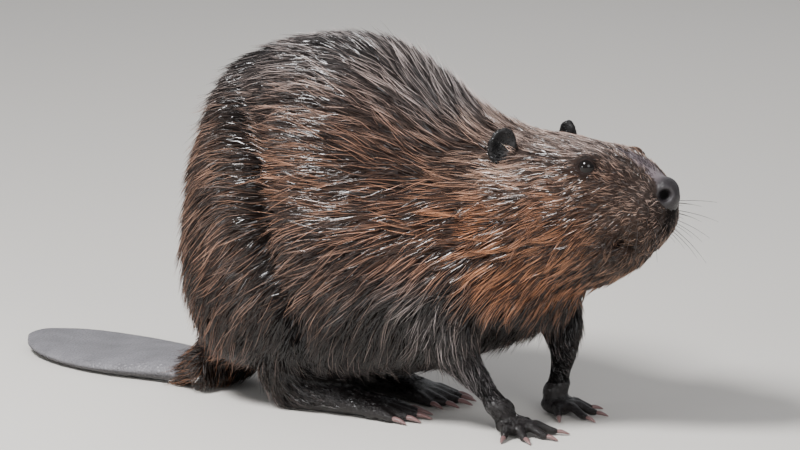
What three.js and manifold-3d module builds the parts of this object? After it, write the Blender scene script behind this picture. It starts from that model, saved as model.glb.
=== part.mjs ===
// A life-size model of an adult North American beaver standing on all fours, its head turned a
// little to its right and its flat tail laid out behind. Millimetres. +X is forward, +Y is the
// animal's left, +Z is up, and the ground is z = 0. The origin is on the ground at the middle of
// the model's bounding box.
//
// The body is lofted from vertical sections, joined into one solid and parted with thin cuts, so
// that every named part of the animal is a node of its own and neighbours meet across a hairline
// gap. All shapes are worked out from a point below the belly and shifted to the origin at the end.
import * as THREE from 'three';
import { mergeVertices } from 'three/addons/utils/BufferGeometryUtils.js';
import Module from 'manifold-3d';

const wasm = await Module();
wasm.setup();

// ---- Driving dimensions ----
const GAP = 0.4; // between two parts that meet
const GROUND = 0; // the level of the soles and the tail's underside
const SIDES = [
  { name: 'right', sign: -1 },
  { name: 'left', sign: 1 },
];
const MIDDLE = new THREE.Vector3(-80, 0.6, 0); // the bounding box's middle

// Trunk and neck: the coat's outline at stations along the body.
// x, top of the back, underside, half width, height of the widest point
const TRUNK = [
  [-243, 300, 36, 66, 150],
  [-224, 311, 33, 74, 149],
  [-204, 334, 30, 85, 148],
  [-182, 351, 26, 97, 147],
  [-150, 366, 23, 110, 146],
  [-110, 379, 22, 119, 148],
  [-65, 386, 22, 123, 156],
  [-20, 383, 26, 121, 162],
  [22, 366, 33, 116, 166],
  [66, 331, 46, 107, 170],
  [110, 309, 67, 96, 180],
  [150, 301, 90, 84, 196],
  [182, 300, 110, 75, 208],
  [216, 295, 140, 64, 216],
];
const RUMP_ROUND = 66; // length over which the rear end rounds off
const CHEST_ROUND = 30; // the same at the front, inside the head
const SQUARENESS = { back: 2.05, below: 2.3 }; // exponents of the superellipse, 2 for an ellipse
const TRUNK_MESH = { rings: 18, around: 20 };

// The fold of skin where the flank meets the haunch, as points down the side: x, z.
const FOLD = [
  [-158, 338],
  [-124, 300],
  [-100, 250],
  [-92, 195],
  [-98, 140],
  [-112, 90],
];
const FOLD_DEPTH = 9;
const FOLD_WIDTH = 17;
const HAUNCH = { at: [-150, 104, 140], reach: 58, swell: 4 };
const SHOULDER = { at: [92, 84, 150], reach: 46, swell: 12 };

// Head: its own frame starts midway between the ears, turned to the animal's right.
const HEAD_AT = [151.5, -5];
const HEAD_TURN = THREE.MathUtils.degToRad(-8);
const HEAD_ROLL = { angle: THREE.MathUtils.degToRad(-5), about: 230 }; // about a level line at this height
// distance in front of the ears, top, underside, half width, height of the widest point, exponent of the top
const HEAD = [
  [-40, 298, 128, 76, 222, 2.2],
  [0, 301, 134, 75, 226, 2.3],
  [34, 301, 138, 73, 228, 2.5],
  [60, 298, 143, 68, 230, 2.8],
  [77, 296, 149, 62, 233, 3],
  [92, 292, 156, 56, 236, 3],
  [107, 288, 165, 49, 236, 2.8],
  [120, 283, 175, 43, 234, 2.5],
  [131, 277, 186, 37, 232, 2.4],
  [142, 269, 197, 33, 233, 2.4],
  [152, 261, 208, 28, 236, 2.3],
  [161, 253, 222, 23, 238, 2.2],
];
const MUZZLE_ROUND = 20;
const HEAD_MESH = { rings: 15, around: 18 };
const NAPE = { d: -18, z: 305, lean: THREE.MathUtils.degToRad(8) }; // parts the head from the neck
const WITHERS = { x: 84, z: 314, lean: THREE.MathUtils.degToRad(14) }; // parts the neck from the trunk

const NOSE = { at: [145.5, 0, 249.5], size: [18, 18.5, 20] }; // the bare pad
const NOSTRIL = { at: [157, 13, 251.5], size: [6, 5, 5.5] };
const MOUTH = { corner: [130, 203], front: [158, 199], open: 2.4 };
const JAW_HINGE = 100; // the lower jaw is parted here
const EYE = { at: [86, 0, 274.5], radius: 8, show: 3 }; // show: how far it stands out of the side of the head
const BROW = { at: [88, 39, 283.5], size: [15, 8, 6] };
const EAR = { at: [-3, 62, 286], width: 31, height: 41, depth: 18, wall: 3 };

// Forelegs, shoulder to wrist: x, y out from the middle, z, half thickness along, half thickness across.
const FORELEGS = {
  right: [
    [92, 66, 150, 34, 28],
    [88, 74, 112, 34, 25],
    [95, 70, 80, 27, 20],
    [111, 62, 58, 19, 15.5],
    [125.5, 57, 40, 14, 13.5],
    [140, 53, 22, 12, 13.5],
  ],
  left: [
    [118, 64, 156, 38, 28],
    [136, 68, 112, 34, 25],
    [152, 62, 80, 24, 19],
    [156, 55, 58, 17, 15.5],
    [153, 51, 40, 14, 13.5],
    [149, 49, 22, 13.5, 13.5],
  ],
};
const UPPER_ARM_CUT = { at: [82, 100, 140], size: [46, 46, 66] };
const WRISTS = { right: { x: 129, z: 32, lean: 24 }, left: { x: 150, z: 32, lean: 8 } }; // lean in degrees
const HANDS = { right: { at: [146, 51], turn: 4 }, left: { at: [150, 48], turn: 6 } };
const PALM = [19, 17, 11];
// degrees outwards from the hand's line, and length, of the digits from the outer to the inner one
const FINGERS = [
  { angle: 82, length: 19 },
  { angle: 46, length: 27 },
  { angle: 12, length: 33 },
  { angle: -17, length: 36 },
  { angle: -54, length: 22 },
];
const FINGER = { rootRadius: 6.4, tipRadius: 4.8, arch: 11, clawLength: 13 };

// Hind legs.
// the thigh and upper arm are parted from the trunk by ellipsoids
const THIGH_CUT = { at: [-148, 100, 132], size: [78, 74, 108] };
const SHANK = [
  [-124, 66, 92, 34, 27],
  [-110, 60, 56, 26, 22],
  [-100, 52, 28, 20, 19],
];
// the foot's own line from heel to ball: x, y, z, half height, half width
const SOLE = [
  [-104, 49, 13, 13.8, 12],
  [-92, 48, 17.5, 18.5, 18],
  [-62, 45, 15.5, 16.5, 19],
  [-30, 42, 12.3, 13.3, 22],
  [-8, 40, 9.8, 10.8, 25],
  [2, 39, 8, 9, 23],
];
const HIND_SHIFT = { right: 0, left: 12 }; // how far forward each hind foot stands
const BALL = { at: [-10, 40], turn: 5 };
const TOES = [
  { angle: 15, length: 31, side: 17 },
  { angle: 8, length: 41, side: 9 },
  { angle: 0, length: 46, side: 0 },
  { angle: -8, length: 41, side: -9 },
  { angle: -15, length: 30, side: -17 },
];
const TOE = { rootRadius: 7.6, tipRadius: 5.6, arch: 9, clawLength: 17 };
const WEB = { thickness: 3.2, reach: 0.85, scoop: 0.25 };

// Tail: the furred root, then the flat scaly blade, along one line on the ground that swings to the left.
const TAIL_FROM = [-196, 8];
const TAIL_SWING = THREE.MathUtils.degToRad(16);
// distance along the tail, half width, thickness
const TAIL_ROOT = [
  [-12, 62, 94],
  [10, 56, 70],
  [24, 50, 50],
  [38, 43, 34],
];
const BLADE = [
  [10, 44, 38],
  [32, 41, 30],
  [70, 47, 26],
  [110, 59, 22],
  [160, 65, 18],
  [208, 61, 14],
  [246, 49, 11],
  [270, 33, 8.5],
  [286, 15, 7],
];
const BLADE_LIFT = { from: 130, rise: 9, roll: 0.05 }; // how the tip and the left edge come off the ground
const BLADE_START = 32;
const BLADE_MESH = { rings: 12, around: 14 };

const COLOURS = {
  back: 0x33281f, neck: 0x6b4128, head: 0x5c3b27, leg: 0x1c1715, paw: 0x171518, claw: 0xa07c7c,
  blade: 0x6d6d72, nose: 0x3a393d, ear: 0x141214, eye: 0x0b0806,
};

// ---- Geometry helpers ----

// Smooth values between the rows of a station table, whose first column is the position.
function between(rows, at) {
  const last = rows.length - 1;
  let i = 0;
  while (i < last - 1 && at > rows[i + 1][0]) i += 1;
  const row = (k) => rows[Math.min(last, Math.max(0, k))];
  const [before, from, to, after] = [row(i - 1), row(i), row(i + 1), row(i + 2)];
  const span = to[0] - from[0];
  const t = THREE.MathUtils.clamp((at - from[0]) / span, 0, 1);
  return from.slice(1).map((value, k) => {
    const c = k + 1;
    const slopeFrom = ((to[c] - before[c]) / (to[0] - before[0])) * span;
    const slopeTo = ((after[c] - from[c]) / (after[0] - from[0])) * span;
    const rise = to[c] - value;
    const cubic = slopeFrom + slopeTo - 2 * rise;
    return value + t * (slopeFrom + t * (rise - slopeFrom - cubic + t * cubic));
  });
}

// A BufferGeometry as a manifold-3d solid.
function solidOf(geometry) {
  const bare = geometry.clone();
  ['normal', 'uv'].forEach((name) => bare.deleteAttribute(name));
  const merged = mergeVertices(bare, 1e-4);
  const vertProperties = new Float32Array(merged.attributes.position.array);
  const triVerts = new Uint32Array(merged.index.array);
  return new wasm.Manifold(new wasm.Mesh({ numProp: 3, vertProperties, triVerts }));
}

// A manifold-3d solid as a BufferGeometry with flat-ready normals.
function geometryOf(solid) {
  const mesh = solid.getMesh();
  const geometry = new THREE.BufferGeometry();
  geometry.setAttribute('position', new THREE.BufferAttribute(new Float32Array(mesh.vertProperties), 3));
  geometry.setIndex(new THREE.BufferAttribute(new Uint32Array(mesh.triVerts), 1));
  geometry.computeVertexNormals();
  return geometry;
}

// A closed solid through rings of equally many points, with a fan at each end.
function loft(rings) {
  const around = rings[0].length;
  const middleOf = (ring) => ring.reduce((sum, p) => sum.add(p), new THREE.Vector3()).divideScalar(around);
  const points = rings.flat();
  const start = points.push(middleOf(rings[0])) - 1;
  const end = points.push(middleOf(rings.at(-1))) - 1;
  const faces = [];
  for (let i = 0; i < around; i += 1) {
    const j = (i + 1) % around;
    faces.push(start, j, i);
    rings.slice(1).forEach((_, r) => {
      const [a, b, c, d] = [r * around + i, r * around + j, (r + 1) * around + i, (r + 1) * around + j];
      faces.push(a, b, c, b, d, c);
    });
    const base = (rings.length - 1) * around;
    faces.push(end, base + i, base + j);
  }
  const geometry = new THREE.BufferGeometry().setFromPoints(points).setIndex(faces);
  const made = solidOf(geometry);
  return made.volume() > 0 ? made : solidOf(geometry.setIndex(faces.reverse()));
}

const signedPower = (value, power) => Math.sign(value) * Math.abs(value) ** power;

// An upright section: [y, z] round a superellipse that has its own height and exponent above and
// below the widest point.
function sectionPoint(angle, { top, bottom, half, widest, above, below }) {
  const exponent = Math.sin(angle) > 0 ? above : below;
  const across = signedPower(Math.cos(angle), 2 / exponent);
  const up = signedPower(Math.sin(angle), 2 / exponent);
  return [half * across, widest + up * (up > 0 ? top - widest : widest - bottom)];
}

// Positions that crowd towards both ends of a loft, where it rounds off.
function crowded(from, to, count) {
  const step = (i) => (1 - Math.cos((Math.PI * i) / (count - 1))) / 2;
  const even = (i) => i / (count - 1);
  return Array.from({ length: count }, (_, i) => from + (to - from) * (0.55 * step(i) + 0.45 * even(i)));
}

// How much a section keeps of its size where an end of the loft rounds off.
function rounding(fromEnd, length) {
  const u = THREE.MathUtils.clamp(1 - fromEnd / length, 0, 0.995);
  return Math.sqrt(1 - u * u);
}

// A tube through nodes of [x, y, z, half thickness towards ref, half thickness across it].
function limb(nodes, { ref = [0, 0, 1], steps = 3, around = 12, dome = true } = {}) {
  const table = nodes.map((node, i) => [i, ...node]);
  const count = (nodes.length - 1) * steps + 1;
  const sample = (i) => between(table, (i * (nodes.length - 1)) / (count - 1));
  const place = (values) => new THREE.Vector3(...values.slice(0, 3));
  const rings = [];
  for (let i = 0; i < count; i += 1) {
    const values = sample(i);
    const at = place(values);
    const ahead = place(sample(Math.min(count - 1, i + 1)));
    const tangent = ahead.sub(place(sample(Math.max(0, i - 1)))).normalize();
    const side = new THREE.Vector3().crossVectors(tangent, new THREE.Vector3(...ref)).normalize();
    const towards = new THREE.Vector3().crossVectors(side, tangent);
    const ring = (shift, scale) =>
      Array.from({ length: around }, (_, k) => {
        const angle = (2 * Math.PI * k) / around;
        return at.clone().addScaledVector(tangent, shift)
          .addScaledVector(towards, values[3] * scale * Math.cos(angle))
          .addScaledVector(side, values[4] * scale * Math.sin(angle));
      });
    const bulge = Math.min(values[3], values[4]);
    if (dome && i === 0) rings.push(ring(-0.75 * bulge, 0.55), ring(-0.4 * bulge, 0.86));
    rings.push(ring(0, 1));
    if (dome && i === count - 1) rings.push(ring(0.4 * bulge, 0.86), ring(0.75 * bulge, 0.55));
  }
  return loft(rings);
}

const ellipsoid = (at, size, columns = 18, rows = 12) =>
  solidOf(new THREE.SphereGeometry(1, columns, rows).scale(...size).translate(...at));

// A box from its middle and full sizes, turned about Y by lean, for cutting.
const block = (at, size, lean = 0) =>
  solidOf(new THREE.BoxGeometry(...size).rotateY(lean).translate(...at));

const mirrored = (at, sign) => [at[0], sign * at[1], at[2]];
const fromHead = (solid) => solid.translate([0, 0, -HEAD_ROLL.about])
  .rotate([THREE.MathUtils.radToDeg(HEAD_ROLL.angle), 0, THREE.MathUtils.radToDeg(HEAD_TURN)])
  .translate([...HEAD_AT, HEAD_ROLL.about]);
const aboveGround = (solid) => solid.subtract(block([0, 0, GROUND - 100], [1600, 1200, 200]));

// The space in front of a plane through [x, z] that leans forward towards its foot.
const ahead = (x, z, lean, gap = 0) =>
  solidOf(new THREE.BoxGeometry(800, 600, 1200)
    .translate(400 - gap, 0, 0).rotateY(-lean).translate(x, 0, z));

// ---- Trunk and neck ----

// The distance from a point on the side to the line of the fold.
function distanceToFold(x, z) {
  let least = Infinity;
  FOLD.slice(1).forEach(([x1, z1], i) => {
    const [x0, z0] = FOLD[i];
    const line = new THREE.Line3(new THREE.Vector3(x0, 0, z0), new THREE.Vector3(x1, 0, z1));
    const nearest = line.closestPointToPoint(new THREE.Vector3(x, 0, z), true, new THREE.Vector3());
    least = Math.min(least, Math.hypot(nearest.x - x, nearest.z - z));
  });
  return least;
}

// How far the flesh stands out over the plain section: the haunch and shoulder swell, and the fold sinks in.
function relief(x, y, z) {
  const swell = ({ at, reach, swell: height }) => {
    const far = Math.hypot(x - at[0], Math.abs(y) - at[1], z - at[2]) / reach;
    return height * Math.exp(-far * far);
  };
  const groove = (distanceToFold(x, z) / FOLD_WIDTH) ** 2;
  return swell(HAUNCH) + swell(SHOULDER) - FOLD_DEPTH * Math.exp(-groove);
}

function makeTrunk(extra) {
  const rear = TRUNK[0][0];
  const front = TRUNK.at(-1)[0];
  return loft(crowded(rear, front, TRUNK_MESH.rings).map((x) => {
    const [top, bottom, half, widest] = between(TRUNK, x);
    const keep = rounding(x - rear, RUMP_ROUND) * rounding(front - x, CHEST_ROUND);
    return Array.from({ length: TRUNK_MESH.around }, (_, k) => {
      const angle = (2 * Math.PI * (k + 0.5)) / TRUNK_MESH.around;
      const [above, below] = [SQUARENESS.back, SQUARENESS.below];
      const [y, z] = sectionPoint(angle, { top, bottom, half, widest, above, below });
      const outward = new THREE.Vector2(y, z - widest).normalize()
        .multiplyScalar((relief(x, y, z) + extra) * keep);
      return new THREE.Vector3(x, y * keep + outward.x, widest + (z - widest) * keep + outward.y);
    });
  }));
}

// ---- Head ----

function headSection(d) {
  const [top, bottom, half, widest, above] = between(HEAD, d);
  return { top, bottom, half, widest, above, below: SQUARENESS.below };
}

function makeHead(extra) {
  const back = HEAD[0][0];
  const front = HEAD.at(-1)[0];
  const skull = loft(crowded(back, front, HEAD_MESH.rings).map((d) => {
    const plain = headSection(d);
    const [top, bottom, half] = [plain.top + extra, plain.bottom - extra, plain.half + extra];
    const section = { ...plain, top, bottom, half };
    const keep = rounding(front - d, MUZZLE_ROUND);
    return Array.from({ length: HEAD_MESH.around }, (_, k) => {
      const [y, z] = sectionPoint((2 * Math.PI * (k + 0.5)) / HEAD_MESH.around, section);
      return new THREE.Vector3(d, y * keep, section.widest + (z - section.widest) * keep);
    });
  }));
  const brows = SIDES.map(({ sign }) => ellipsoid(mirrored(BROW.at, sign), BROW.size, 8, 6));
  return fromHead(brows.reduce((all, brow) => all.add(brow), skull));
}

// The mouth: a thin slot along the lip line with a deeper corner at its back.
function makeMouth() {
  const { corner: [d0, z0], front: [d1, z1] } = MOUTH;
  const lean = Math.atan2(z0 - z1, d1 - d0);
  const lips = solidOf(new THREE.BoxGeometry(100, 120, MOUTH.open)
    .translate(50, 0, 0).rotateY(lean).translate(d0, 0, z0));
  const corners = SIDES.map(({ sign }) => ellipsoid([d0, sign * 40, z0], [7, 9, 5], 8, 6));
  return { slot: fromHead(lips), corners: fromHead(corners[0].add(corners[1])) };
}

// Everything below the lip line and in front of the jaw's hinge.
function jawRegion(gap) {
  const { corner: [d0, z0], front: [d1, z1] } = MOUTH;
  const lean = Math.atan2(z0 - z1, d1 - d0);
  const below = solidOf(new THREE.BoxGeometry(300, 200, 200)
    .translate(0, 0, gap - 100).rotateY(lean).translate(d0, 0, z0));
  return fromHead(below.intersect(ahead(JAW_HINGE, z0, 0.3, gap)));
}

function eyePlace(sign) {
  const { half, widest, top, above } = headSection(EYE.at[0]);
  const rise = (EYE.at[2] - widest) / (top - widest);
  const surface = half * (1 - rise ** above) ** (1 / above);
  return [EYE.at[0], sign * (surface + EYE.show - EYE.radius), EYE.at[2]];
}

// A cupped pinna: the shell between two ellipsoids, opening outwards and forwards.
function makeEar(sign) {
  const { width, height, depth, wall } = EAR;
  const outer = ellipsoid([0, 0, 0], [width / 2, depth / 2, height / 2], 9, 7);
  const inner = [width / 2 - wall, depth / 2 - wall * 0.3, height / 2 - wall];
  const hollow = ellipsoid([2, depth * 0.36, 1.5], inner, 8, 6);
  const cup = outer.subtract(hollow);
  const posed = cup.rotate([12, 14, -22]);
  return fromHead((sign < 0 ? posed.mirror([0, 1, 0]) : posed).translate(mirrored(EAR.at, sign)));
}

// ---- Feet ----

// A digit from its root on a heading, and the claw that stands a hair in front of its blunt end.
function makeDigit(root, heading, { length, rootRadius, tipRadius, arch, clawLength }) {
  const [forward, across] = [Math.cos(heading), Math.sin(heading)];
  const along = (distance, z) => [root[0] + forward * distance, root[1] + across * distance, z];
  const tipHeight = tipRadius - 0.5;
  const flesh = limb([
    [...along(0, rootRadius * 0.9), rootRadius, rootRadius],
    [...along(length * 0.42, arch), rootRadius * 0.93, rootRadius * 0.9],
    [...along(length * 0.86, tipHeight), tipRadius, tipRadius * 1.02],
    [...along(length, tipHeight), tipRadius * 0.86, tipRadius * 0.9],
  ], { steps: 1, around: 6, dome: false });
  const claw = limb([
    [...along(length + GAP, tipHeight), tipRadius * 0.62, tipRadius * 0.76],
    [...along(length + clawLength * 0.5, tipHeight * 0.9), tipRadius * 0.5, tipRadius * 0.58],
    [...along(length + clawLength, tipHeight * 0.3), tipRadius * 0.14, tipRadius * 0.2],
  ], { steps: 1, around: 5, dome: false });
  return { flesh, claw };
}

const joinDigits = (base, digits) => ({
  flesh: digits.reduce((all, { flesh }) => all.add(flesh), base),
  claws: digits.map(({ claw }) => claw),
});

function makeHand({ name, sign }) {
  const { at: [x, out], turn: degrees } = HANDS[name];
  const y = sign * out;
  const turn = THREE.MathUtils.degToRad(-sign * degrees);
  const [halfLength, halfWidth, halfHeight] = PALM;
  const palm = solidOf(new THREE.SphereGeometry(1, 10, 6).scale(halfLength, halfWidth, halfHeight)
    .rotateZ(turn).translate(x + 3, y, halfHeight - 1.6));
  return joinDigits(palm, FINGERS.map(({ angle, length }) => {
    const heading = turn + sign * THREE.MathUtils.degToRad(angle);
    const root = [x + Math.cos(heading) * 10, y + Math.sin(heading) * 10];
    return makeDigit(root, heading, { ...FINGER, length });
  }));
}

function makeHindFoot({ name, sign }) {
  const turn = THREE.MathUtils.degToRad(-sign * BALL.turn);
  const shift = HIND_SHIFT[name];
  const ball = [BALL.at[0] + shift, sign * BALL.at[1]];
  const sole = limb(SOLE.map(([x, y, ...rest]) => [x + shift, sign * y, ...rest]), { steps: 1, around: 10 });
  const digits = TOES.map(({ angle, length, side }) => {
    const heading = turn + sign * THREE.MathUtils.degToRad(angle);
    const root = [ball[0] - Math.sin(turn) * sign * side, ball[1] + Math.cos(turn) * sign * side];
    const reach = length * WEB.reach;
    const edge = [root[0] + Math.cos(heading) * reach, root[1] + Math.sin(heading) * reach];
    return { ...makeDigit(root, heading, { ...TOE, length }), edge: new THREE.Vector2(...edge) };
  });
  // The web: one thin plate that runs from toe to toe and is scooped between their tips.
  const outline = new THREE.Shape([new THREE.Vector2(...ball)]);
  outline.lineTo(digits[0].edge.x, digits[0].edge.y);
  digits.slice(1).forEach(({ edge }, i) => {
    const middle = digits[i].edge.clone().add(edge).multiplyScalar(0.5);
    const scoop = middle.lerp(new THREE.Vector2(...ball), WEB.scoop);
    outline.quadraticCurveTo(scoop.x, scoop.y, edge.x, edge.y);
  });
  const settings = { depth: WEB.thickness, bevelEnabled: false, curveSegments: 1 };
  return joinDigits(sole.add(solidOf(new THREE.ExtrudeGeometry(outline, settings))), digits);
}

// ---- Tail ----

const alongTail = (distance, side, z) => [
  TAIL_FROM[0] - Math.cos(TAIL_SWING) * distance - Math.sin(TAIL_SWING) * side,
  TAIL_FROM[1] + Math.sin(TAIL_SWING) * distance - Math.cos(TAIL_SWING) * side,
  z,
];

// Flat below and crowned above, one ring across the tail.
function tailRing(distance, half, thickness, around, crown) {
  return Array.from({ length: around }, (_, k) => {
    const angle = (2 * Math.PI * (k + 0.5)) / around;
    const across = signedPower(Math.cos(angle), 0.9);
    const lift = Math.sin(angle) > 0
      ? thickness * (0.42 + 0.58 * Math.sin(angle) ** crown)
      : thickness * 0.3 * (1 + Math.sin(angle)) - 1;
    const side = half * across;
    const tip = Math.max(0, distance - BLADE_LIFT.from) / (BLADE.at(-1)[0] - BLADE_LIFT.from);
    const raised = BLADE_LIFT.rise * tip * tip + BLADE_LIFT.roll * Math.max(0, -side);
    return new THREE.Vector3(...alongTail(distance, side, lift + raised));
  });
}

function makeTail() {
  const root = loft(TAIL_ROOT.map(([distance, half, thickness]) =>
    tailRing(distance, half, thickness, BLADE_MESH.around, 1)));
  const first = BLADE[0][0];
  const last = BLADE.at(-1)[0];
  const blade = loft(Array.from({ length: BLADE_MESH.rings }, (_, i) => {
    const distance = first + ((last - first) * i) / (BLADE_MESH.rings - 1);
    const [half, thickness] = between(BLADE, distance);
    return tailRing(distance, half, thickness, BLADE_MESH.around, 1.2);
  }));
  const cut = (distance, length) => solidOf(new THREE.BoxGeometry(length, 400, 400)
    .translate(-length / 2, 0, 0).rotateZ(-TAIL_SWING).translate(...alongTail(distance, 0, 0)));
  const beyond = cut(BLADE_START, 400);
  const whole = root.add(blade);
  return {
    root: root.add(blade.subtract(beyond)).subtract(cut(BLADE_START - GAP, 400)),
    blade: whole.intersect(beyond),
  };
}

// ---- Joining and parting ----

const nodes = [];
function addNode(name, solid, colour, { roughness = 0.8, metalness = 0 } = {}) {
  const material = new THREE.MeshStandardMaterial({ color: COLOURS[colour], roughness, metalness });
  const mesh = new THREE.Mesh(geometryOf(solid), material);
  mesh.name = name;
  nodes.push(mesh);
}

const grown = (size, gap) => size.map((value) => value + gap);

const trunkGrown = makeTrunk(GAP);
const headGrown = makeHead(GAP);
let torso = makeTrunk(0).add(makeHead(0));

// The thighs and upper arms leave their places in the torso.
SIDES.forEach(({ name, sign }) => {
  [['thigh', THIGH_CUT], ['upper_arm', UPPER_ARM_CUT]].forEach(([part, { at, size }]) => {
    const region = (gap) => ellipsoid(mirrored(at, sign), grown(size, gap), 12, 8);
    addNode(`${part}_${name}`, torso.intersect(region(0)), 'back');
    torso = torso.subtract(region(GAP));
  });
});

// Trunk, neck and head are parted at the withers and the nape.
const withers = (gap) => ahead(WITHERS.x, WITHERS.z, WITHERS.lean, gap);
const nape = (gap) => fromHead(ahead(NAPE.d, NAPE.z, NAPE.lean, gap));
addNode('trunk', torso.subtract(withers(GAP)), 'back');
addNode('neck', torso.intersect(withers(0)).subtract(nape(GAP)), 'neck');

// The lower jaw, nose and eyes leave their places in the head.
const mouth = makeMouth();
const pad = (gap) => fromHead(ellipsoid(NOSE.at, grown(NOSE.size, gap), 12, 7));
let head = torso.intersect(nape(0)).subtract(mouth.slot).subtract(mouth.corners);
addNode('jaw', head.intersect(jawRegion(0)).subtract(pad(GAP)), 'head');
head = head.subtract(jawRegion(GAP)).subtract(pad(GAP));
const nostrils = SIDES.map(({ sign }) =>
  fromHead(ellipsoid(mirrored(NOSTRIL.at, sign), NOSTRIL.size, 7, 5)));
const nose = nostrils.reduce((rest, hole) => rest.subtract(hole), pad(0));
addNode('nose', nose, 'nose', { roughness: 0.25 });
SIDES.forEach(({ name, sign }) => {
  const ball = (gap) => fromHead(ellipsoid(eyePlace(sign), Array(3).fill(EYE.radius + gap), 9, 6));
  head = head.subtract(ball(GAP));
  addNode(`eye_${name}`, ball(0), 'eye', { roughness: 0.08 });
  addNode(`ear_${name}`, makeEar(sign).subtract(headGrown).subtract(trunkGrown), 'ear', { roughness: 0.85 });
});
addNode('head', head, 'head');

// Tail.
const tail = makeTail();
addNode('tail_root', aboveGround(tail.root.subtract(trunkGrown)), 'back');
addNode('tail_blade', aboveGround(tail.blade), 'blade', { roughness: 0.55 });

// Legs below the trunk.
SIDES.forEach((side) => {
  const { name, sign } = side;
  const placed = (rows, dx) => rows.map(([x, y, ...rest]) => [x + dx, sign * y, ...rest]);
  const leg = (rows, dx) => limb(placed(rows, dx), { ref: [1, 0, 0], steps: 1, around: 10 });
  const hand = makeHand(side);
  const foot = makeHindFoot(side);
  const foreleg = leg(FORELEGS[name], 0).add(hand.flesh).subtract(trunkGrown);
  const hindLeg = leg(SHANK, HIND_SHIFT[name]).add(foot.flesh).subtract(trunkGrown);
  const wrist = WRISTS[name];
  const above = (gap) => solidOf(new THREE.BoxGeometry(400, 200, 400).translate(0, 0, 200 - gap)
    .rotateY(THREE.MathUtils.degToRad(-wrist.lean))
    .translate(wrist.x, sign * HANDS[name].at[1], wrist.z));
  addNode(`forearm_${name}`, foreleg.intersect(above(0)), 'leg');
  addNode(`fore_foot_${name}`, aboveGround(foreleg.subtract(above(GAP))), 'paw', { roughness: 0.5 });
  addNode(`hind_foot_${name}`, aboveGround(hindLeg), 'paw', { roughness: 0.5 });
  [['fore', hand], ['hind', foot]].forEach(([end, { claws }]) => claws.forEach((claw, i) => {
    addNode(`${end}_claw_${name}_${i + 1}`, aboveGround(claw), 'claw', { roughness: 0.4 });
  }));
});

const beaver = new THREE.Group();
beaver.add(...nodes);
beaver.position.copy(MIDDLE).negate();

export default beaver;
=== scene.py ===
"""A beaver at life size: one skin over the flesh, a coat of mesh hairs, eyes, claws and whiskers."""

import math

import bpy
import numpy as np
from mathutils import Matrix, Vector
from mathutils.bvhtree import BVHTree
from mathutils.kdtree import KDTree


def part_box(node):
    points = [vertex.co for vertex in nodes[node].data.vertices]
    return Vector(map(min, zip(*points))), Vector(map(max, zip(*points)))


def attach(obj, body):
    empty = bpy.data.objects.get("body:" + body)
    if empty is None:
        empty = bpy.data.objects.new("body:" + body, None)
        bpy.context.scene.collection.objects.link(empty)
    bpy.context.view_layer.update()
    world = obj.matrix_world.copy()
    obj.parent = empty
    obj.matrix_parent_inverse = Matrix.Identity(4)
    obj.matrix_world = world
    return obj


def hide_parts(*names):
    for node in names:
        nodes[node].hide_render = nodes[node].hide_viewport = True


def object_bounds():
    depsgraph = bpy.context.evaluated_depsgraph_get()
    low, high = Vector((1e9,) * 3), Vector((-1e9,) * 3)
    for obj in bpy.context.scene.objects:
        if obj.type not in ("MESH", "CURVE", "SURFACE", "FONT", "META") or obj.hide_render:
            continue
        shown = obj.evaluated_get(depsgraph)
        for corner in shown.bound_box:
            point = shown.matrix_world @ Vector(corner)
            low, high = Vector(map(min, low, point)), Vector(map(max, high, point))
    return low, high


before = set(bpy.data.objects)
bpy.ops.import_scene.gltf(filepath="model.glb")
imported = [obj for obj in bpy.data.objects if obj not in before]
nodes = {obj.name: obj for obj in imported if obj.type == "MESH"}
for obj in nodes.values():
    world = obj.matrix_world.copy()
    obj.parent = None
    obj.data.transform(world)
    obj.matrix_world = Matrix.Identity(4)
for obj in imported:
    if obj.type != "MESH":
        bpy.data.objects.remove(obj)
cad_box = [list(corner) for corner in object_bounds()]

SEED = 7
rng = np.random.default_rng(SEED)

# ---- Frames: lengths below are millimetres in the body's own frame ----

MM_IN_M = 1000
MIDDLE = np.array([80.0, -0.6, 0.0])
HEAD_AT = np.array([151.5, -5.0, 0.0])
HEAD_TURN = math.radians(-8)
HEAD_ROLL = math.radians(-5)
HEAD_AXIS = 230.0
UP = np.array([0.0, 0.0, 1.0])
AHEAD = np.array([math.cos(HEAD_TURN), math.sin(HEAD_TURN), 0.0])
LEVEL_LEFT = np.array([-math.sin(HEAD_TURN), math.cos(HEAD_TURN), 0.0])
LEFT = math.cos(HEAD_ROLL) * LEVEL_LEFT + math.sin(HEAD_ROLL) * UP
HEAD_UP = math.cos(HEAD_ROLL) * UP - math.sin(HEAD_ROLL) * LEVEL_LEFT


def to_row(points):
    return (points + MIDDLE) / MM_IN_M


def from_row(points):
    return points * MM_IN_M - MIDDLE


def in_head(points):
    """Distance ahead, to the left and up, of points in the head's frame."""
    rel = points - HEAD_AT - HEAD_AXIS * UP
    return np.stack([rel @ AHEAD, rel @ LEFT, rel @ HEAD_UP + HEAD_AXIS], axis=-1)


def out_of_head(ahead, left, up):
    return HEAD_AT + HEAD_AXIS * UP + ahead * AHEAD + left * LEFT + (up - HEAD_AXIS) * HEAD_UP


def unit(v):
    return v / np.maximum(np.linalg.norm(v, axis=-1, keepdims=True), 1e-9)


def ramp(x, low, high):
    """0 below low, 1 above high, and smooth between."""
    t = np.clip((x - low) / (high - low), 0, 1)
    return t * t * (3 - 2 * t)


def faded(x, between, least):
    """1 beyond a pair of values, falling to least before it."""
    return least + (1 - least) * ramp(x, *between)


def linear(rgb):
    c = np.asarray(rgb, float) / 255
    return np.where(c <= 0.04045, c / 12.92, ((c + 0.055) / 1.055) ** 2.4)


def blend(base, over, share):
    """Colours with others laid over them, by a share for each point."""
    return base * (1 - share[:, None]) + over * share[:, None]


# ---- Meshes ----

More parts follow.
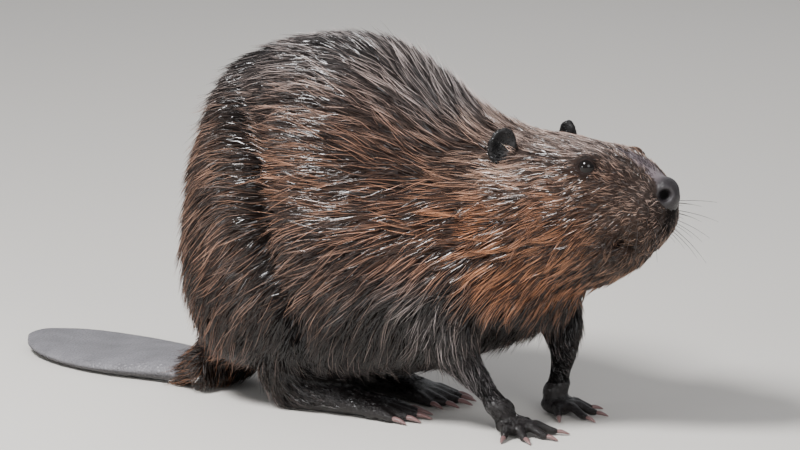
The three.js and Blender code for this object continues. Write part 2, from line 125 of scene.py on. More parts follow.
WEIGHT_STEPS = 20
OBLIQUE = [0.13, 0.21, 0.97]


def mesh_from(name, verts, faces, smooth=True):
    """A mesh of triangles or quads, vertices as they are given."""
    sides = faces.shape[1]
    me = bpy.data.meshes.new(name)
    me.vertices.add(len(verts))
    me.vertices.foreach_set("co", np.ascontiguousarray(verts, np.float32).ravel())
    me.loops.add(faces.size)
    me.loops.foreach_set("vertex_index", np.ascontiguousarray(faces, np.int32).ravel())
    me.polygons.add(len(faces))
    me.polygons.foreach_set("loop_start", np.arange(0, faces.size, sides, dtype=np.int32))
    me.polygons.foreach_set("use_smooth", np.full(len(faces), smooth))
    me.update(calc_edges=True)
    return me


def add_object(name, data):
    ob = bpy.data.objects.new(name, data)
    bpy.context.scene.collection.objects.link(ob)
    return ob


def remove_with_mesh(ob):
    mesh = ob.data
    bpy.data.objects.remove(ob)
    bpy.data.meshes.remove(mesh)


def arrays_of(mesh):
    co = np.empty(len(mesh.vertices) * 3, np.float32)
    mesh.vertices.foreach_get("co", co)
    mesh.calc_loop_triangles()
    tris = np.empty(len(mesh.loop_triangles) * 3, np.int32)
    mesh.loop_triangles.foreach_get("vertices", tris)
    return co.reshape(-1, 3).astype(float), tris.reshape(-1, 3)


def with_modifier(verts, faces, kind, settings, weights=None):
    """The arrays of a mesh after one modifier."""
    ob = add_object("work", mesh_from("work", verts, faces))
    if weights is not None:
        group = ob.vertex_groups.new(name="w")
        level = np.round(weights * WEIGHT_STEPS).astype(int)
        for step in np.unique(level):
            group.add(np.nonzero(level == step)[0].tolist(), step / WEIGHT_STEPS, "REPLACE")
    mod = ob.modifiers.new("work", kind)
    for key, value in settings.items():
        setattr(mod, key, value)
    evaluated = ob.evaluated_get(bpy.context.evaluated_depsgraph_get())
    out = arrays_of(evaluated.to_mesh())
    evaluated.to_mesh_clear()
    remove_with_mesh(ob)
    return out


def joined(bodies):
    """Several (vertices, triangles) as one."""
    starts = np.cumsum([0] + [len(v) for v, _ in bodies])
    verts = np.concatenate([v for v, _ in bodies])
    return verts, np.concatenate([t + start for (_, t), start in zip(bodies, starts)])


def merged(verts, tris, grain=1e-3):
    """The same triangles on shared vertices."""
    keys = np.round(verts / grain).astype(np.int64)
    _, first, back = np.unique(keys, axis=0, return_index=True, return_inverse=True)
    return verts[first], back.reshape(-1)[tris]


def remeshed(bodies, voxel):
    """One closed surface round all the bodies given as (vertices, triangles)."""
    return with_modifier(*joined(bodies), "REMESH", {"mode": "VOXEL", "voxel_size": voxel})


def normals_of(verts, tris):
    a, b, c = (verts[tris[:, k]] for k in range(3))
    face = np.cross(b - a, c - a)
    out = np.zeros_like(verts)
    for k in range(3):
        for axis in range(3):
            out[:, axis] += np.bincount(tris[:, k], face[:, axis], len(verts))
    return unit(out)


def edges_of(tris):
    pairs = np.sort(np.concatenate([tris[:, [0, 1]], tris[:, [1, 2]], tris[:, [2, 0]]]), axis=1)
    return np.unique(pairs, axis=0)


def relaxed(values, edges, share, times):
    """values (points or numbers per vertex) drawn towards their neighbours' mean, by share per vertex."""
    count = len(values)
    flat = values.reshape(count, -1).copy()
    degree = np.bincount(edges.ravel(), minlength=count)[:, None]
    share = np.broadcast_to(np.asarray(share, float).reshape(-1, 1), (count, 1))
    for _ in range(times):
        total = np.empty_like(flat)
        for k in range(flat.shape[1]):
            total[:, k] = np.bincount(edges[:, 0], flat[edges[:, 1], k], count)
            total[:, k] += np.bincount(edges[:, 1], flat[edges[:, 0], k], count)
        flat += share * (total / degree - flat)
    return flat.reshape(values.shape)


def wall(rows, around, closed=False):
    """Triangles between rings of vertices, from each to the next."""
    tris = []
    for i in range(rows if closed else rows - 1):
        for j in range(around):
            a, b = i * around + j, i * around + (j + 1) % around
            c, d = (i + 1) % rows * around + j, (i + 1) % rows * around + (j + 1) % around
            tris += [(a, c, b), (b, c, d)]
    return tris


def tube(points, radii, around=10, closed=False):
    """A tube through points, with a fan at each end unless it is closed."""
    radii = np.broadcast_to(radii, len(points))
    if closed:
        tangent = unit(np.roll(points, -1, 0) - np.roll(points, 1, 0))
    else:
        tangent = unit(np.gradient(points, axis=0))
    side = unit(np.cross(tangent, OBLIQUE))
    upward = np.cross(side, tangent)
    turn = np.arange(around) / around * 2 * math.pi
    ring = side[:, None] * np.cos(turn)[None, :, None] + upward[:, None] * np.sin(turn)[None, :, None]
    verts = (points[:, None] + ring * radii[:, None, None]).reshape(-1, 3)
    rows = len(points)
    tris = wall(rows, around, closed)
    if not closed:
        verts = np.concatenate([verts, points[:1], points[-1:]])
        for j in range(around):
            k = (j + 1) % around
            tris.append((rows * around, j, k))
            tris.append((rows * around + 1, (rows - 1) * around + k, (rows - 1) * around + j))
    return verts, np.array(tris)


def ball(centre, radius, rings=12, around=18):
    rows = []
    for i in range(1, rings):
        tilt = math.pi * i / rings
        for j in range(around):
            turn = 2 * math.pi * j / around
            rows.append((math.sin(tilt) * math.cos(turn), math.sin(tilt) * math.sin(turn), math.cos(tilt)))
    rows += [(0, 0, 1), (0, 0, -1)]
    verts = centre + radius * np.array(rows)
    tris = []
    top, bottom = len(rows) - 2, len(rows) - 1
    for j in range(around):
        k = (j + 1) % around
        tris += [(top, j, k), (bottom, (rings - 2) * around + k, (rings - 2) * around + j)]
        for i in range(rings - 2):
            a, b, c, d = i * around + j, i * around + k, (i + 1) * around + j, (i + 1) * around + k
            tris += [(a, c, b), (b, c, d)]
    return verts, np.array(tris)


# ---- The flesh of the frame, by kinds of node ----

claws = sorted(n for n in nodes if "_claw_" in n)
flesh = sorted(n for n in nodes if not n.startswith("eye_") and "_claw_" not in n)
bodies = {}
for name in flesh:
    v, t = arrays_of(nodes[name].data)
    bodies[name] = merged(from_row(v), t)

# each kind of node: how deep the coat lies over it, how far its form is rounded, how thickly it is haired
KIND = {
    "trunk": (9, 0.9, 1.0), "neck": (8.5, 0.9, 1.5), "head": (5.5, 0.4, 3.0), "jaw": (4, 0.35, 3.2),
    "nose": (0, 0.03, 0), "ear": (0.3, 0.06, 3.5), "thigh": (8, 0.9, 1.0), "upper_arm": (6.5, 0.8, 1.3),
    "forearm": (3.5, 0.5, 2.4), "fore_foot": (0.2, 0.03, 1.8), "hind_foot": (0.2, 0.03, 1.5),
    "tail_root": (6, 0.7, 1.3), "tail_blade": (0, 0.3, 0),
}
KINDS = list(KIND)
COAT_DEPTH, ROUNDING, THICKNESS = np.array(list(KIND.values()), float).T


def is_any(kinds, *names):
    return np.isin(kinds, [KINDS.index(name) for name in names])


flesh_kinds = np.concatenate([
    np.full(len(bodies[n][1]), KINDS.index(n.replace("_right", "").replace("_left", ""))) for n in flesh])
flesh_tree = BVHTree.FromPolygons(*(part.tolist() for part in joined([bodies[n] for n in flesh])))


def nearest_kind(points):
    """Which kind of node each point lies nearest."""
    return flesh_kinds[[flesh_tree.find_nearest(p)[2] for p in points.tolist()]]


# ---- Eyes and their lids ----

EYE_GROWTH = 1.12
EYE_FACING = (0.34, 0.94, 0.16)
LID_TUBE = 1.1
LID_PROUD = 0.6
LID_FULLNESS = 0.35
LID_POINTS = 40
LID_WIDE, LID_TALL = math.radians(72), math.radians(50)


def eye_at(side, sign):
    low, high = (from_row(np.array(corner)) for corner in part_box("eye_" + side))
    ahead, outward, up = EYE_FACING
    return {
        "side": side, "centre": (low + high) / 2, "radius": (high - low)[2] / 2 * EYE_GROWTH,
        "outward": unit(ahead * AHEAD + outward * sign * LEFT + up * UP),
    }


EYES = [eye_at("right", -1), eye_at("left", 1)]


def gap_to_eyes(points):
    return np.min([np.linalg.norm(points - eye["centre"], axis=1) for eye in EYES], axis=0)


def lid_line(eye):
    """Points round the opening of the two lids, lying on the eyeball."""
    along = unit(AHEAD - AHEAD @ eye["outward"] * eye["outward"])
    upward = np.cross(eye["outward"], along)
    upward = upward * np.sign(upward[2])
    points = []
    for turn in np.linspace(0, 2 * math.pi, LID_POINTS, endpoint=False):
        rise = LID_TALL * math.sin(turn) * abs(math.sin(turn)) ** LID_FULLNESS
        reach = math.hypot(LID_WIDE * math.cos(turn), rise)
        across = unit(math.cos(turn) * LID_WIDE * along + rise * upward)
        points.append(eye["centre"] + (eye["radius"] + LID_PROUD) * (
            math.cos(reach) * eye["outward"] + math.sin(reach) * across))
    return np.array(points)


# ---- The skin ----

SKIN_GRAIN = 1.7
JOIN = 0.35
SOCKET = 0.93
JAW_LIFT, JAW_TUCK = 3.0, 0.6
CUFF_REACH = 3.0
# where the skin round an eye takes on its full rounding and depth, and what it has nearer
EYE_ROUNDING, LEAST_ROUNDING = (12, 24), 0.15
EYE_DEPTH, LEAST_DEPTH = (9, 22), 0.08
# along the head the coat thins from its back to the muzzle
MUZZLE, BACK_OF_HEAD_DEPTH, MUZZLE_THINNING = (40, 130), 1.15, 0.85
ROUNDING_TIMES, LAST_TIMES = 46, 6


def cuff(claw):
    """A ball of flesh round the base of a claw, so that its toe holds it."""
    limb, _, side, _ = claw.split("_")
    claw_v = from_row(arrays_of(nodes[claw].data)[0])
    foot_v = bodies[limb + "_foot_" + side][0]
    gap = np.array([np.linalg.norm(foot_v - p, axis=1).min() for p in claw_v])
    base = claw_v[gap < gap.min() + CUFF_REACH]
    return ball(base.mean(axis=0), np.ptp(base, axis=0).max() / 2)


swollen = [(v + JOIN * normals_of(v, t), t) for v, t in bodies.values()]
swollen += [ball(eye["centre"], eye["radius"] * SOCKET) for eye in EYES]
swollen += [cuff(claw) for claw in claws]
jaw_v, jaw_t = bodies["jaw"]
swollen.append((jaw_v + JAW_LIFT * HEAD_UP - JAW_TUCK * AHEAD, jaw_t))
skin_v, skin_t = merged(*remeshed(swollen, SKIN_GRAIN))
edges = edges_of(skin_t)
kinds = nearest_kind(skin_v)

eye_gap = gap_to_eyes(skin_v)
share = ROUNDING[kinds] * faded(eye_gap, EYE_ROUNDING, LEAST_ROUNDING)
share = relaxed(share, edges, share=0.5, times=8)
skin_v = relaxed(skin_v, edges, share, ROUNDING_TIMES)

depth = COAT_DEPTH[kinds]
muzzle = ramp(in_head(skin_v)[:, 0], *MUZZLE)
depth = np.where(is_any(kinds, "head", "jaw"), depth * (BACK_OF_HEAD_DEPTH - MUZZLE_THINNING * muzzle), depth)
depth *= faded(eye_gap, EYE_DEPTH, LEAST_DEPTH)
depth = relaxed(depth, edges, share=0.6, times=14)
skin_v = skin_v - normals_of(skin_v, skin_t) * (depth + JOIN)[:, None]
skin_v = relaxed(skin_v, edges, np.clip(share, 0, 0.5), LAST_TIMES)

# ---- Folds and hollows carved into the skin ----

# the crease between flank and haunch: points x, z, and its depth and width
CREASE = [
    (-163, 327), (-150, 318), (-136, 297), (-121, 282), (-111, 266), (-104, 240), (-99, 214), (-94, 190),
    (-88, 162), (-76, 141), (-66, 117), (-62, 90),
]
CREASE_DEPTH, CREASE_WIDTH = 10, 14
# how far from the middle the crease begins and is full
CREASE_SIDE = (18, 60)
# the lips from their corner forwards: points ahead, up in the head's frame
LIPS = [(115, 199), (121, 202), (127, 200.5), (130, 195), (129, 188), (123, 178)]
LIPS_DEPTH, LIPS_WIDTH = 5.5, 2.6
# hollows and swellings of the head: ahead, left, up, reach, height
HEAD_FORMS = [
    (122, 34, 201, 7.5, -8), (156, 13, 251.5, 5, -7.5), (141, 30, 221, 15, 3), (110, 42, 183, 14, 2),
    (101, 40, 277, 9, -2.5), (86, 46, 290, 10, 1.5), (150, 6, 236, 5, -2),
]
NOSTRIL = (157, 13, 251.5)
NOSTRIL_AXIS = np.array([0.76, 0.65, 0.0])
NOSTRIL_RIM, NOSTRIL_LENGTH = (3.4, 5.6), 14
CARVED_GRAIN = SKIN_GRAIN * 0.94
FOOT_EASE, SKIN_EASE = 0.12, 0.35
FINE = ("head", "jaw", "nose", "ear", "fore_foot", "hind_foot")
FINENESS = 1.5
SKIN_TRIANGLES = 170000


def gap_to_line(across, up, line):
    """Distance of points in a plane from a line of points."""
    best = np.full(len(across), np.inf)
    for (x0, y0), (x1, y1) in zip(line, line[1:]):
        t = ((across - x0) * (x1 - x0) + (up - y0) * (y1 - y0)) / ((x1 - x0) ** 2 + (y1 - y0) ** 2)
        t = np.clip(t, 0, 1)
        best = np.minimum(best, np.hypot(across - x0 - t * (x1 - x0), up - y0 - t * (y1 - y0)))
    return best


def crease_at(points, width=CREASE_WIDTH):
    """How near points lie to the crease on either flank, 1 in its bottom."""
    near = np.exp(-(gap_to_line(points[:, 0], points[:, 2], CREASE) / width) ** 2)
    return near * ramp(np.abs(points[:, 1]), *CREASE_SIDE)


def ahead_of_crease(points):
    """How far in front of the crease points lie."""
    line = np.array(CREASE[::-1], float)
    return points[:, 0] - np.interp(points[:, 2], line[:, 1], line[:, 0])


def lips_at(points):
    local = in_head(points)
    return np.exp(-(gap_to_line(local[:, 0], local[:, 2], LIPS) / LIPS_WIDTH) ** 2)


def in_half_head(points):
    """Points in the head's frame, both sides as its left."""
    local = in_head(points)
    local[:, 1] = np.abs(local[:, 1])
    return local


def head_forms_at(points):
    local = in_half_head(points)
    return sum(height * np.exp(-((local - (ahead, side, up)) ** 2).sum(1) / reach ** 2)
               for ahead, side, up, reach, height in HEAD_FORMS)


def nostril_at(points):
    """1 inside the nostrils, which run back and inwards."""
    rel = in_half_head(points) - NOSTRIL
    gap = np.linalg.norm(np.cross(rel, NOSTRIL_AXIS), axis=1)
    return (1 - ramp(gap, *NOSTRIL_RIM)) * (rel @ NOSTRIL_AXIS > -NOSTRIL_LENGTH)


skin_v = skin_v + normals_of(skin_v, skin_t) * (
    head_forms_at(skin_v) - CREASE_DEPTH * crease_at(skin_v) - LIPS_DEPTH * lips_at(skin_v))[:, None]
lids = [tube(lid_line(eye), LID_TUBE, closed=True) for eye in EYES]
skin_v, skin_t = merged(*remeshed([(skin_v, skin_t)] + lids, CARVED_GRAIN))
edges = edges_of(skin_t)
kinds = nearest_kind(skin_v)
ease = np.where(is_any(kinds, "fore_foot", "hind_foot"), FOOT_EASE, SKIN_EASE)
skin_v = relaxed(skin_v, edges, ease, times=3)

fine = relaxed(is_any(kinds, *FINE).astype(float), edges, share=0.6, times=6)
skin_v, skin_t = with_modifier(skin_v, skin_t, "DECIMATE", {
    "ratio": SKIN_TRIANGLES / len(skin_t), "vertex_group": "w", "invert_vertex_group": True,
    "vertex_group_factor": FINENESS, "use_collapse_triangulate": True}, weights=fine)
skin_n = normals_of(skin_v, skin_t)
edges = edges_of(skin_t)
kinds = nearest_kind(skin_v)
is_kind = {kind: relaxed(is_any(kinds, kind).astype(float), edges, share=0.5, times=2) for kind in KINDS}
feet = is_kind["fore_foot"] + is_kind["hind_foot"]

# ---- The lie of the coat ----

# place on the right side: direction of the hair, its length, how far its tips rise, its width, stiffness
LIE = [
    # muzzle, face and cheek
    ((296, -30, 262), (-1, 0, 0.1), 5, 1.3, 0.65, 0.3),
    ((290, -38, 225), (-0.9, -0.1, -0.3), 5.5, 1.6, 0.65, 0.4),
    ((285, -60, 235), (-0.9, -0.1, -0.35), 7.5, 1.8, 0.7, 0.3),
    ((240, -30, 300), (-1, 0.05, 0.05), 10, 2, 0.65, 0.2),
    ((268, -12, 284), (-0.7, -0.1, 0.7), 8, 4, 0.8, 0.85),
    ((282, -22, 272), (-0.8, -0.3, 0.4), 6, 3, 0.7, 0.6),
    ((235, -62, 262), (-0.95, -0.1, -0.3), 12, 2.5, 0.65, 0.2),
    ((180, -20, 305), (-1, 0, 0), 15, 4, 0.7, 0.25),
    ((215, -75, 230), (-0.88, -0.2, -0.42), 21, 5, 0.8, 0.2),
    ((235, -65, 195), (-0.7, -0.1, -0.7), 18, 5, 0.8, 0.4),
    ((270, -45, 190), (-0.75, 0, -0.6), 8, 2.5, 0.7, 0.2),
    ((220, -10, 135), (-0.6, 0, -0.8), 18, 6, 1, 0.7),
    # neck
    ((130, -70, 280), (-1, -0.05, -0.1), 24, 6, 1, 0.2),
    ((130, 0, 308), (-0.8, 0, 0.6), 25, 10, 0.8, 0.95),
    ((130, -85, 230), (-0.97, -0.1, -0.25), 30, 8, 1.1, 0.2),
    ((150, -80, 170), (-0.75, -0.1, -0.65), 30, 9, 1.2, 0.35),
    ((190, -80, 170), (-0.75, -0.15, -0.65), 24, 8, 1.1, 0.35),
    # shoulder and arm
    ((100, -110, 200), (-0.93, 0, -0.35), 30, 8, 1.1, 0.2),
    ((90, -115, 150), (-0.65, 0, -0.75), 28, 8, 1.1, 0.2),
    ((95, -110, 110), (-0.35, 0, -0.95), 20, 5, 0.95, 0.4),
    # back
    ((66, 0, 330), (-0.7, 0, 0.7), 26, 11, 0.9, 0.95),
    ((22, 0, 366), (-0.85, 0, 0.5), 22, 10, 1, 0.6),
    ((-40, 0, 386), (-0.98, 0, 0.1), 22, 9, 1, 0.45),
    ((-110, 0, 378), (-1, 0, -0.15), 24, 9, 1.1, 0.45),
    ((-180, 0, 345), (-0.85, 0, -0.5), 26, 9, 1.2, 0.6),
    ((-235, 0, 260), (-0.4, 0, -0.9), 28, 10, 1.2, 0.6),
    ((-240, 0, 150), (-0.15, 0, -1), 28, 10, 1.2, 0.5),
    # flank
    ((40, -90, 310), (-0.9, 0, 0.42), 24, 8, 1, 0.2),
    ((-40, -90, 320), (-0.97, 0, 0.2), 28, 8, 1, 0.2),
    ((-110, -90, 310), (-1, 0, -0.02), 30, 8, 1.1, 0.2),
    ((40, -118, 230), (-0.98, 0, -0.15), 30, 8, 1, 0.2),
    ((-40, -125, 230), (-1, 0, -0.08), 32, 8, 1, 0.2),
    ((-110, -120, 230), (-1, 0, -0.1), 34, 10, 1.1, 0.2),
    ((40, -115, 150), (-0.8, 0, -0.6), 30, 8, 1, 0.2),
    ((-40, -122, 150), (-0.8, 0, -0.6), 32, 8, 1, 0.2),
    ((-110, -120, 150), (-0.75, 0, -0.65), 32, 8, 1.1, 0.2),
    ((40, -90, 90), (-0.4, 0.1, -0.9), 32, 7, 1, 0.6),
    ((-40, -100, 80), (-0.4, 0.1, -0.9), 32, 7, 1, 0.6),
    # rump
    ((-170, -105, 170), (-0.65, 0, -0.75), 30, 9, 1.2, 0.35),
    ((-160, -100, 90), (-0.4, 0, -0.92), 28, 9, 1.2, 0.6),
    ((-200, -70, 280), (-0.9, 0, -0.45), 28, 9, 1.2, 0.5),
    ((-215, -75, 200), (-0.6, 0, -0.8), 28, 9, 1.2, 0.5),
    ((-235, -20, 50), (-0.9, 0.25, -0.3), 20, 6, 1.1, 0.7),
    # belly, chest and legs
    ((0, 0, 45), (-1, 0, -0.1), 22, 7, 1.1, 0.5),
    ((150, 0, 110), (-0.4, 0, -0.9), 26, 8, 1.1, 0.8),
    ((190, 0, 140), (-0.4, 0, -0.9), 26, 8, 1.1, 0.8),
    ((110, -70, 70), (0.35, 0, -0.94), 11, 3, 0.8, 0.3),
    ((140, -60, 40), (0.35, 0, -0.94), 6, 1.2, 0.7, 0.1),
    ((158, 60, 70), (-0.1, 0, -1), 11, 3, 0.8, 0.3),
    # the feet's tops
    ((150, -50, 30), (0.9, 0, -0.4), 4.5, 0.9, 0.5, 0.1),
    ((-40, -45, 45), (1, -0.1, -0.1), 6, 1, 0.55, 0.1),
    ((10, -45, 22), (1, 0, -0.2), 4.5, 0.8, 0.5, 0.1),
]
LIE_AT = np.array([row[0] for row in LIE], float)
LIE_WAY = unit(np.array([row[1] for row in LIE], float))
LIE_SIZES = np.array([row[2:] for row in LIE], float)
# where the body's middle line moves over to the turned head's
NECK_BEND = (60, 151)


def middle_line(points):
    """The body's own middle, which turns with the head."""
    bend = np.clip(points[:, 0] - HEAD_AT[0], 0, None)
    return ramp(points[:, 0], *NECK_BEND) * HEAD_AT[1] + bend * math.tan(HEAD_TURN)


def as_right(points):
    """Points moved to the right side of a straight body, and the side that each came from."""
    across = points[:, 1] - middle_line(points)
    side = np.where(across > 0, 1.0, -1.0)
    out = points.copy()
    out[:, 1] = -np.abs(across)
    return out, side


def spread(points, places, values, softness):
    """values at places, spread smoothly over points."""
    total = np.zeros((len(points), values.shape[1]))
    weight = np.zeros(len(points))
    for place, value in zip(places, values):
        gap = ((points - place) ** 2).sum(1) + softness ** 2
        w = gap ** -2
        total += w[:, None] * value
        weight += w
    return total / weight[:, None]


right_v, side_of = as_right(skin_v)
fields = spread(right_v, LIE_AT, np.concatenate([LIE_WAY, LIE_SIZES], axis=1), softness=14.0)
way = fields[:, :3].copy()
way[:, 1] *= -side_of
way -= (way * skin_n).sum(1, keepdims=True) * skin_n
way = unit(way)
hair_length, hair_rise, hair_width, hair_stiff = fields[:, 3:7].T

# ---- Colours ----

# place on the right side: colour of the hair's root and of its tip, and how many hairs are light
COLOURS = [
    ((300, -20, 250), (94, 80, 74), (176, 152, 140), 0.42),
    ((285, -45, 225), (94, 73, 62), (180, 146, 124), 0.42),
    ((240, -55, 270), (84, 62, 52), (164, 126, 104), 0.42),
    ((230, -20, 300), (98, 84, 79), (194, 172, 162), 0.48),
    ((175, -20, 305), (90, 74, 68), (190, 166, 154), 0.48),
    ((215, -75, 230), (80, 53, 40), (178, 120, 84), 0.36),
    ((235, -65, 195), (80, 55, 42), (172, 118, 82), 0.38),
    ((270, -30, 185), (76, 58, 48), (150, 116, 94), 0.32),
    ((205, -20, 152), (54, 36, 27), (156, 104, 70), 0.33),
    # chest under the cheek's ruff: dark fur, with painted shade of the overhanging ruff
    ((150, -45, 112), (22, 17, 16), (70, 58, 52), 0.14),
    ((182, -15, 118), (24, 18, 16), (74, 58, 50), 0.15),
    ((125, -86, 138), (34, 27, 25), (124, 108, 100), 0.2),
    ((165, -68, 166), (68, 43, 31), (182, 120, 80), 0.38),
    ((140, -75, 275), (82, 64, 56), (194, 160, 140), 0.44),
    ((140, -85, 230), (70, 44, 31), (186, 124, 86), 0.36),
    ((165, -80, 180), (62, 42, 32), (170, 120, 88), 0.36),
    ((100, -105, 220), (70, 52, 45), (180, 128, 98), 0.31),
    # upper arm: black hair with silver tips, partly painted glints of the wet coat
    ((96, -100, 125), (32, 27, 27), (158, 149, 147), 0.27),
    ((66, 0, 330), (74, 65, 64), (200, 187, 183), 0.43),
    ((-40, 0, 386), (64, 57, 56), (166, 156, 153), 0.32),
    ((-150, 0, 365), (54, 47, 46), (134, 122, 118), 0.26),
    ((40, -110, 240), (70, 53, 47), (176, 128, 102), 0.31),
    ((-50, -120, 240), (72, 55, 48), (176, 130, 104), 0.31),
    ((-50, -118, 160), (62, 49, 44), (164, 130, 112), 0.29),
    ((40, -95, 100), (30, 25, 23), (100, 87, 82), 0.16),
    ((-50, -95, 80), (26, 21, 20), (92, 80, 75), 0.15),
    ((-200, -80, 250), (62, 48, 42), (158, 122, 102), 0.27),
    ((-210, -70, 120), (46, 33, 26), (126, 88, 66), 0.22),
    ((-230, -10, 50), (46, 32, 25), (120, 84, 62), 0.22),
    # belly: dark fur, with painted shade under the body
    ((0, 0, 45), (20, 16, 15), (46, 38, 34), 0.1),
    # forearm: black hair with pale tips, partly painted glints of the wet coat
    ((120, -60, 60), (27, 24, 25), (134, 127, 129), 0.28),
    ((158, 60, 70), (27, 24, 24), (98, 88, 86), 0.2),
    ((150, -50, 25), (24, 20, 20), (90, 82, 82), 0.15),
    ((-30, -45, 35), (24, 20, 20), (90, 82, 82), 0.15),
]
COLOUR_AT = np.array([row[0] for row in COLOURS], float)
DARK_SHARE, LIGHT_SHARE = 0.36, 0.95
COLOUR_OF = np.array([
    [*linear(root) * DARK_SHARE, *linear(tip) * LIGHT_SHARE, light] for _, root, tip, light in COLOURS])

FOOT_COLOUR = linear((24, 20, 20))
NOSE_COLOUR = linear((36, 32, 34))
NOSTRIL_SHADE_COLOUR = linear((9, 8, 8))
RIDGE_SHEEN_COLOUR = linear((120, 108, 112))
EAR_COLOUR = linear((17, 15, 15))
LID_COLOUR = linear((30, 24, 22))
LID_EDGE_COLOUR = linear((36, 28, 26))
TAIL_COLOUR = linear((112, 110, 114))
TAIL_SHADE_COLOUR = linear((58, 56, 58))

# smooth random fields: the length of their waves, and a seed
FIELDS = {
    "skin": (40, 3), "skin_fine": (12, 4), "ridge": (6, 16), "bend": (30, 11), "bend_fine": (9, 13),
    "crossing": (12, 15), "ragged": (13, 14), "wet": (45, 12), "mottle": (45, 17), "mottle_fine": (15, 18),
}
WAVES, WAVE_NUMBERS, WAVE_PHASES, WAVE_TOTAL = 7, (0.6, 1.6), (0, 6.28), 3.2

# ramps (from, to) in the head's frame: the bare ridge of the nose, its grey lightened with painted sheen, its
# turn to the dark pad, and the painted shade under it
RIDGE_FRONT, RIDGE_UP, RIDGE_EDGE = (90, 98), (246, 254), (-1.5, 1.5)
RIDGE_SLOPE, RIDGE_WIDEST, RIDGE_WAVER = 0.4, 13, 1.5
PAD_FRONT, PAD_TOP, PAD_LEAN = (128, 150), 262, 0.6
UNDER_FRONT, UNDER_SIDE, UNDER_LOW, UNDER_HIGH = (144, 150), (7, 13), (206, 214), (236, 242)
# ramps of the distance from an eye and from the line of its lids
BARE_LID, LID_EDGE = (10, 12.5), (1.4, 2.4)
# how steeply a face has to look up to count as the tail's top; faces that look sideways or down get painted
# shade
TAIL_TOP = (-0.2, 0.3)
# the skin's colour against that of the hairs' roots, and how far it is darkened with painted shade under the
# nose and in folds (the mouth's line and the crease); the first two also thin the hair there
SKIN_SHARE, UNDER_NOSE_SHADE_AND_THINNING, LIPS_SHADE_AND_THINNING, CREASE_SHADE = 0.65, 0.8, 0.95, 0.9
MOTTLING, MOTTLING_FINE = 0.10, 0.08


def noise(points, field):
    """Smooth noise from about -1 to 1: a few waves in random directions."""
    scale, seed = FIELDS[field]
    draw = np.random.default_rng(seed)
    total = np.zeros(len(points))
    for _ in range(WAVES):
        direction = unit(draw.normal(size=3)) * draw.uniform(*WAVE_NUMBERS) / scale
        total += np.sin(points @ direction * 2 * math.pi + draw.uniform(*WAVE_PHASES))
    return total / WAVE_TOTAL


ahead_v, across_v, up_v = in_head(skin_v).T
across_v = np.abs(across_v)
eye_gap = gap_to_eyes(skin_v)
lid_points = np.concatenate([lid_line(eye) for eye in EYES])
lid_gap = np.min([np.linalg.norm(skin_v - p, axis=1) for p in lid_points], axis=0)

ridge_half = np.clip(RIDGE_SLOPE * (ahead_v - RIDGE_FRONT[0]), 0, RIDGE_WIDEST)
ridge_half = ridge_half + RIDGE_WAVER * noise(skin_v, "ridge")
ridge = ramp(ahead_v, *RIDGE_FRONT) * ramp(up_v, *RIDGE_UP)
ridge *= 1 - ramp(across_v - ridge_half, *RIDGE_EDGE)
bare_nose = np.clip(is_kind["nose"] + ridge, 0, 1)
towards_pad = ramp(ahead_v + PAD_LEAN * (PAD_TOP - up_v), *PAD_FRONT)
under_nose = ramp(ahead_v, *UNDER_FRONT) * (1 - ramp(across_v, *UNDER_SIDE))
under_nose = under_nose * ramp(up_v, *UNDER_LOW) * (1 - ramp(up_v, *UNDER_HIGH))
nostril = nostril_at(skin_v)

tint = spread(right_v, COLOUR_AT, COLOUR_OF, softness=18)
paint = blend(tint[:, :3] * SKIN_SHARE, FOOT_COLOUR, feet)
# the nose: grey bare ridge lightened with painted sheen, fading to the dark pad
paint = blend(paint, blend(RIDGE_SHEEN_COLOUR, NOSE_COLOUR, towards_pad), bare_nose)
# painted shade under the nose pad
paint = paint * (1 - UNDER_NOSE_SHADE_AND_THINNING * under_nose[:, None])
# the nostrils painted near black: painted shade inside them
paint = blend(paint, NOSTRIL_SHADE_COLOUR, nostril)
paint = blend(paint, EAR_COLOUR, is_kind["ear"])
paint = blend(paint, LID_COLOUR, 1 - ramp(eye_gap, *BARE_LID))
paint = blend(paint, LID_EDGE_COLOUR, 1 - ramp(lid_gap, *LID_EDGE))
# painted shade in the slit of the mouth
paint = paint * (1 - LIPS_SHADE_AND_THINNING * lips_at(skin_v))[:, None]
# painted shade down the crease between flank and haunch
paint = paint * (1 - CREASE_SHADE * crease_at(skin_v))[:, None]
# the tail: its own grey on top, painted shade on its edges and underside
tail_top_and_shade = blend(TAIL_SHADE_COLOUR, TAIL_COLOUR, ramp(skin_n[:, 2], *TAIL_TOP))
paint = blend(paint, tail_top_and_shade, is_kind["tail_blade"])
mottling = noise(skin_v, "skin") * MOTTLING + noise(skin_v, "skin_fine") * MOTTLING_FINE
paint = np.clip(paint * (1 + mottling[:, None]), 0, 1)

# ---- Materials ----


def material(name, roughness, base=None, **sockets):
    """A principled material; its colour is base, or else the mesh's colour attribute."""
    mat = bpy.data.materials.new(name)
    mat.use_nodes = True
    shader = mat.node_tree.nodes["Principled BSDF"]
    shader.inputs["Roughness"].default_value = roughness
    for key, value in sockets.items():
        shader.inputs[key.replace("_", " ")].default_value = value
    if base is None:
        node = mat.node_tree.nodes.new("ShaderNodeAttribute")
        node.attribute_name = "Coat"
        mat.node_tree.links.new(node.outputs["Color"], shader.inputs["Base Color"])
    else:
        shader.inputs["Base Color"].default_value = (*linear(base), 1)
    return mat


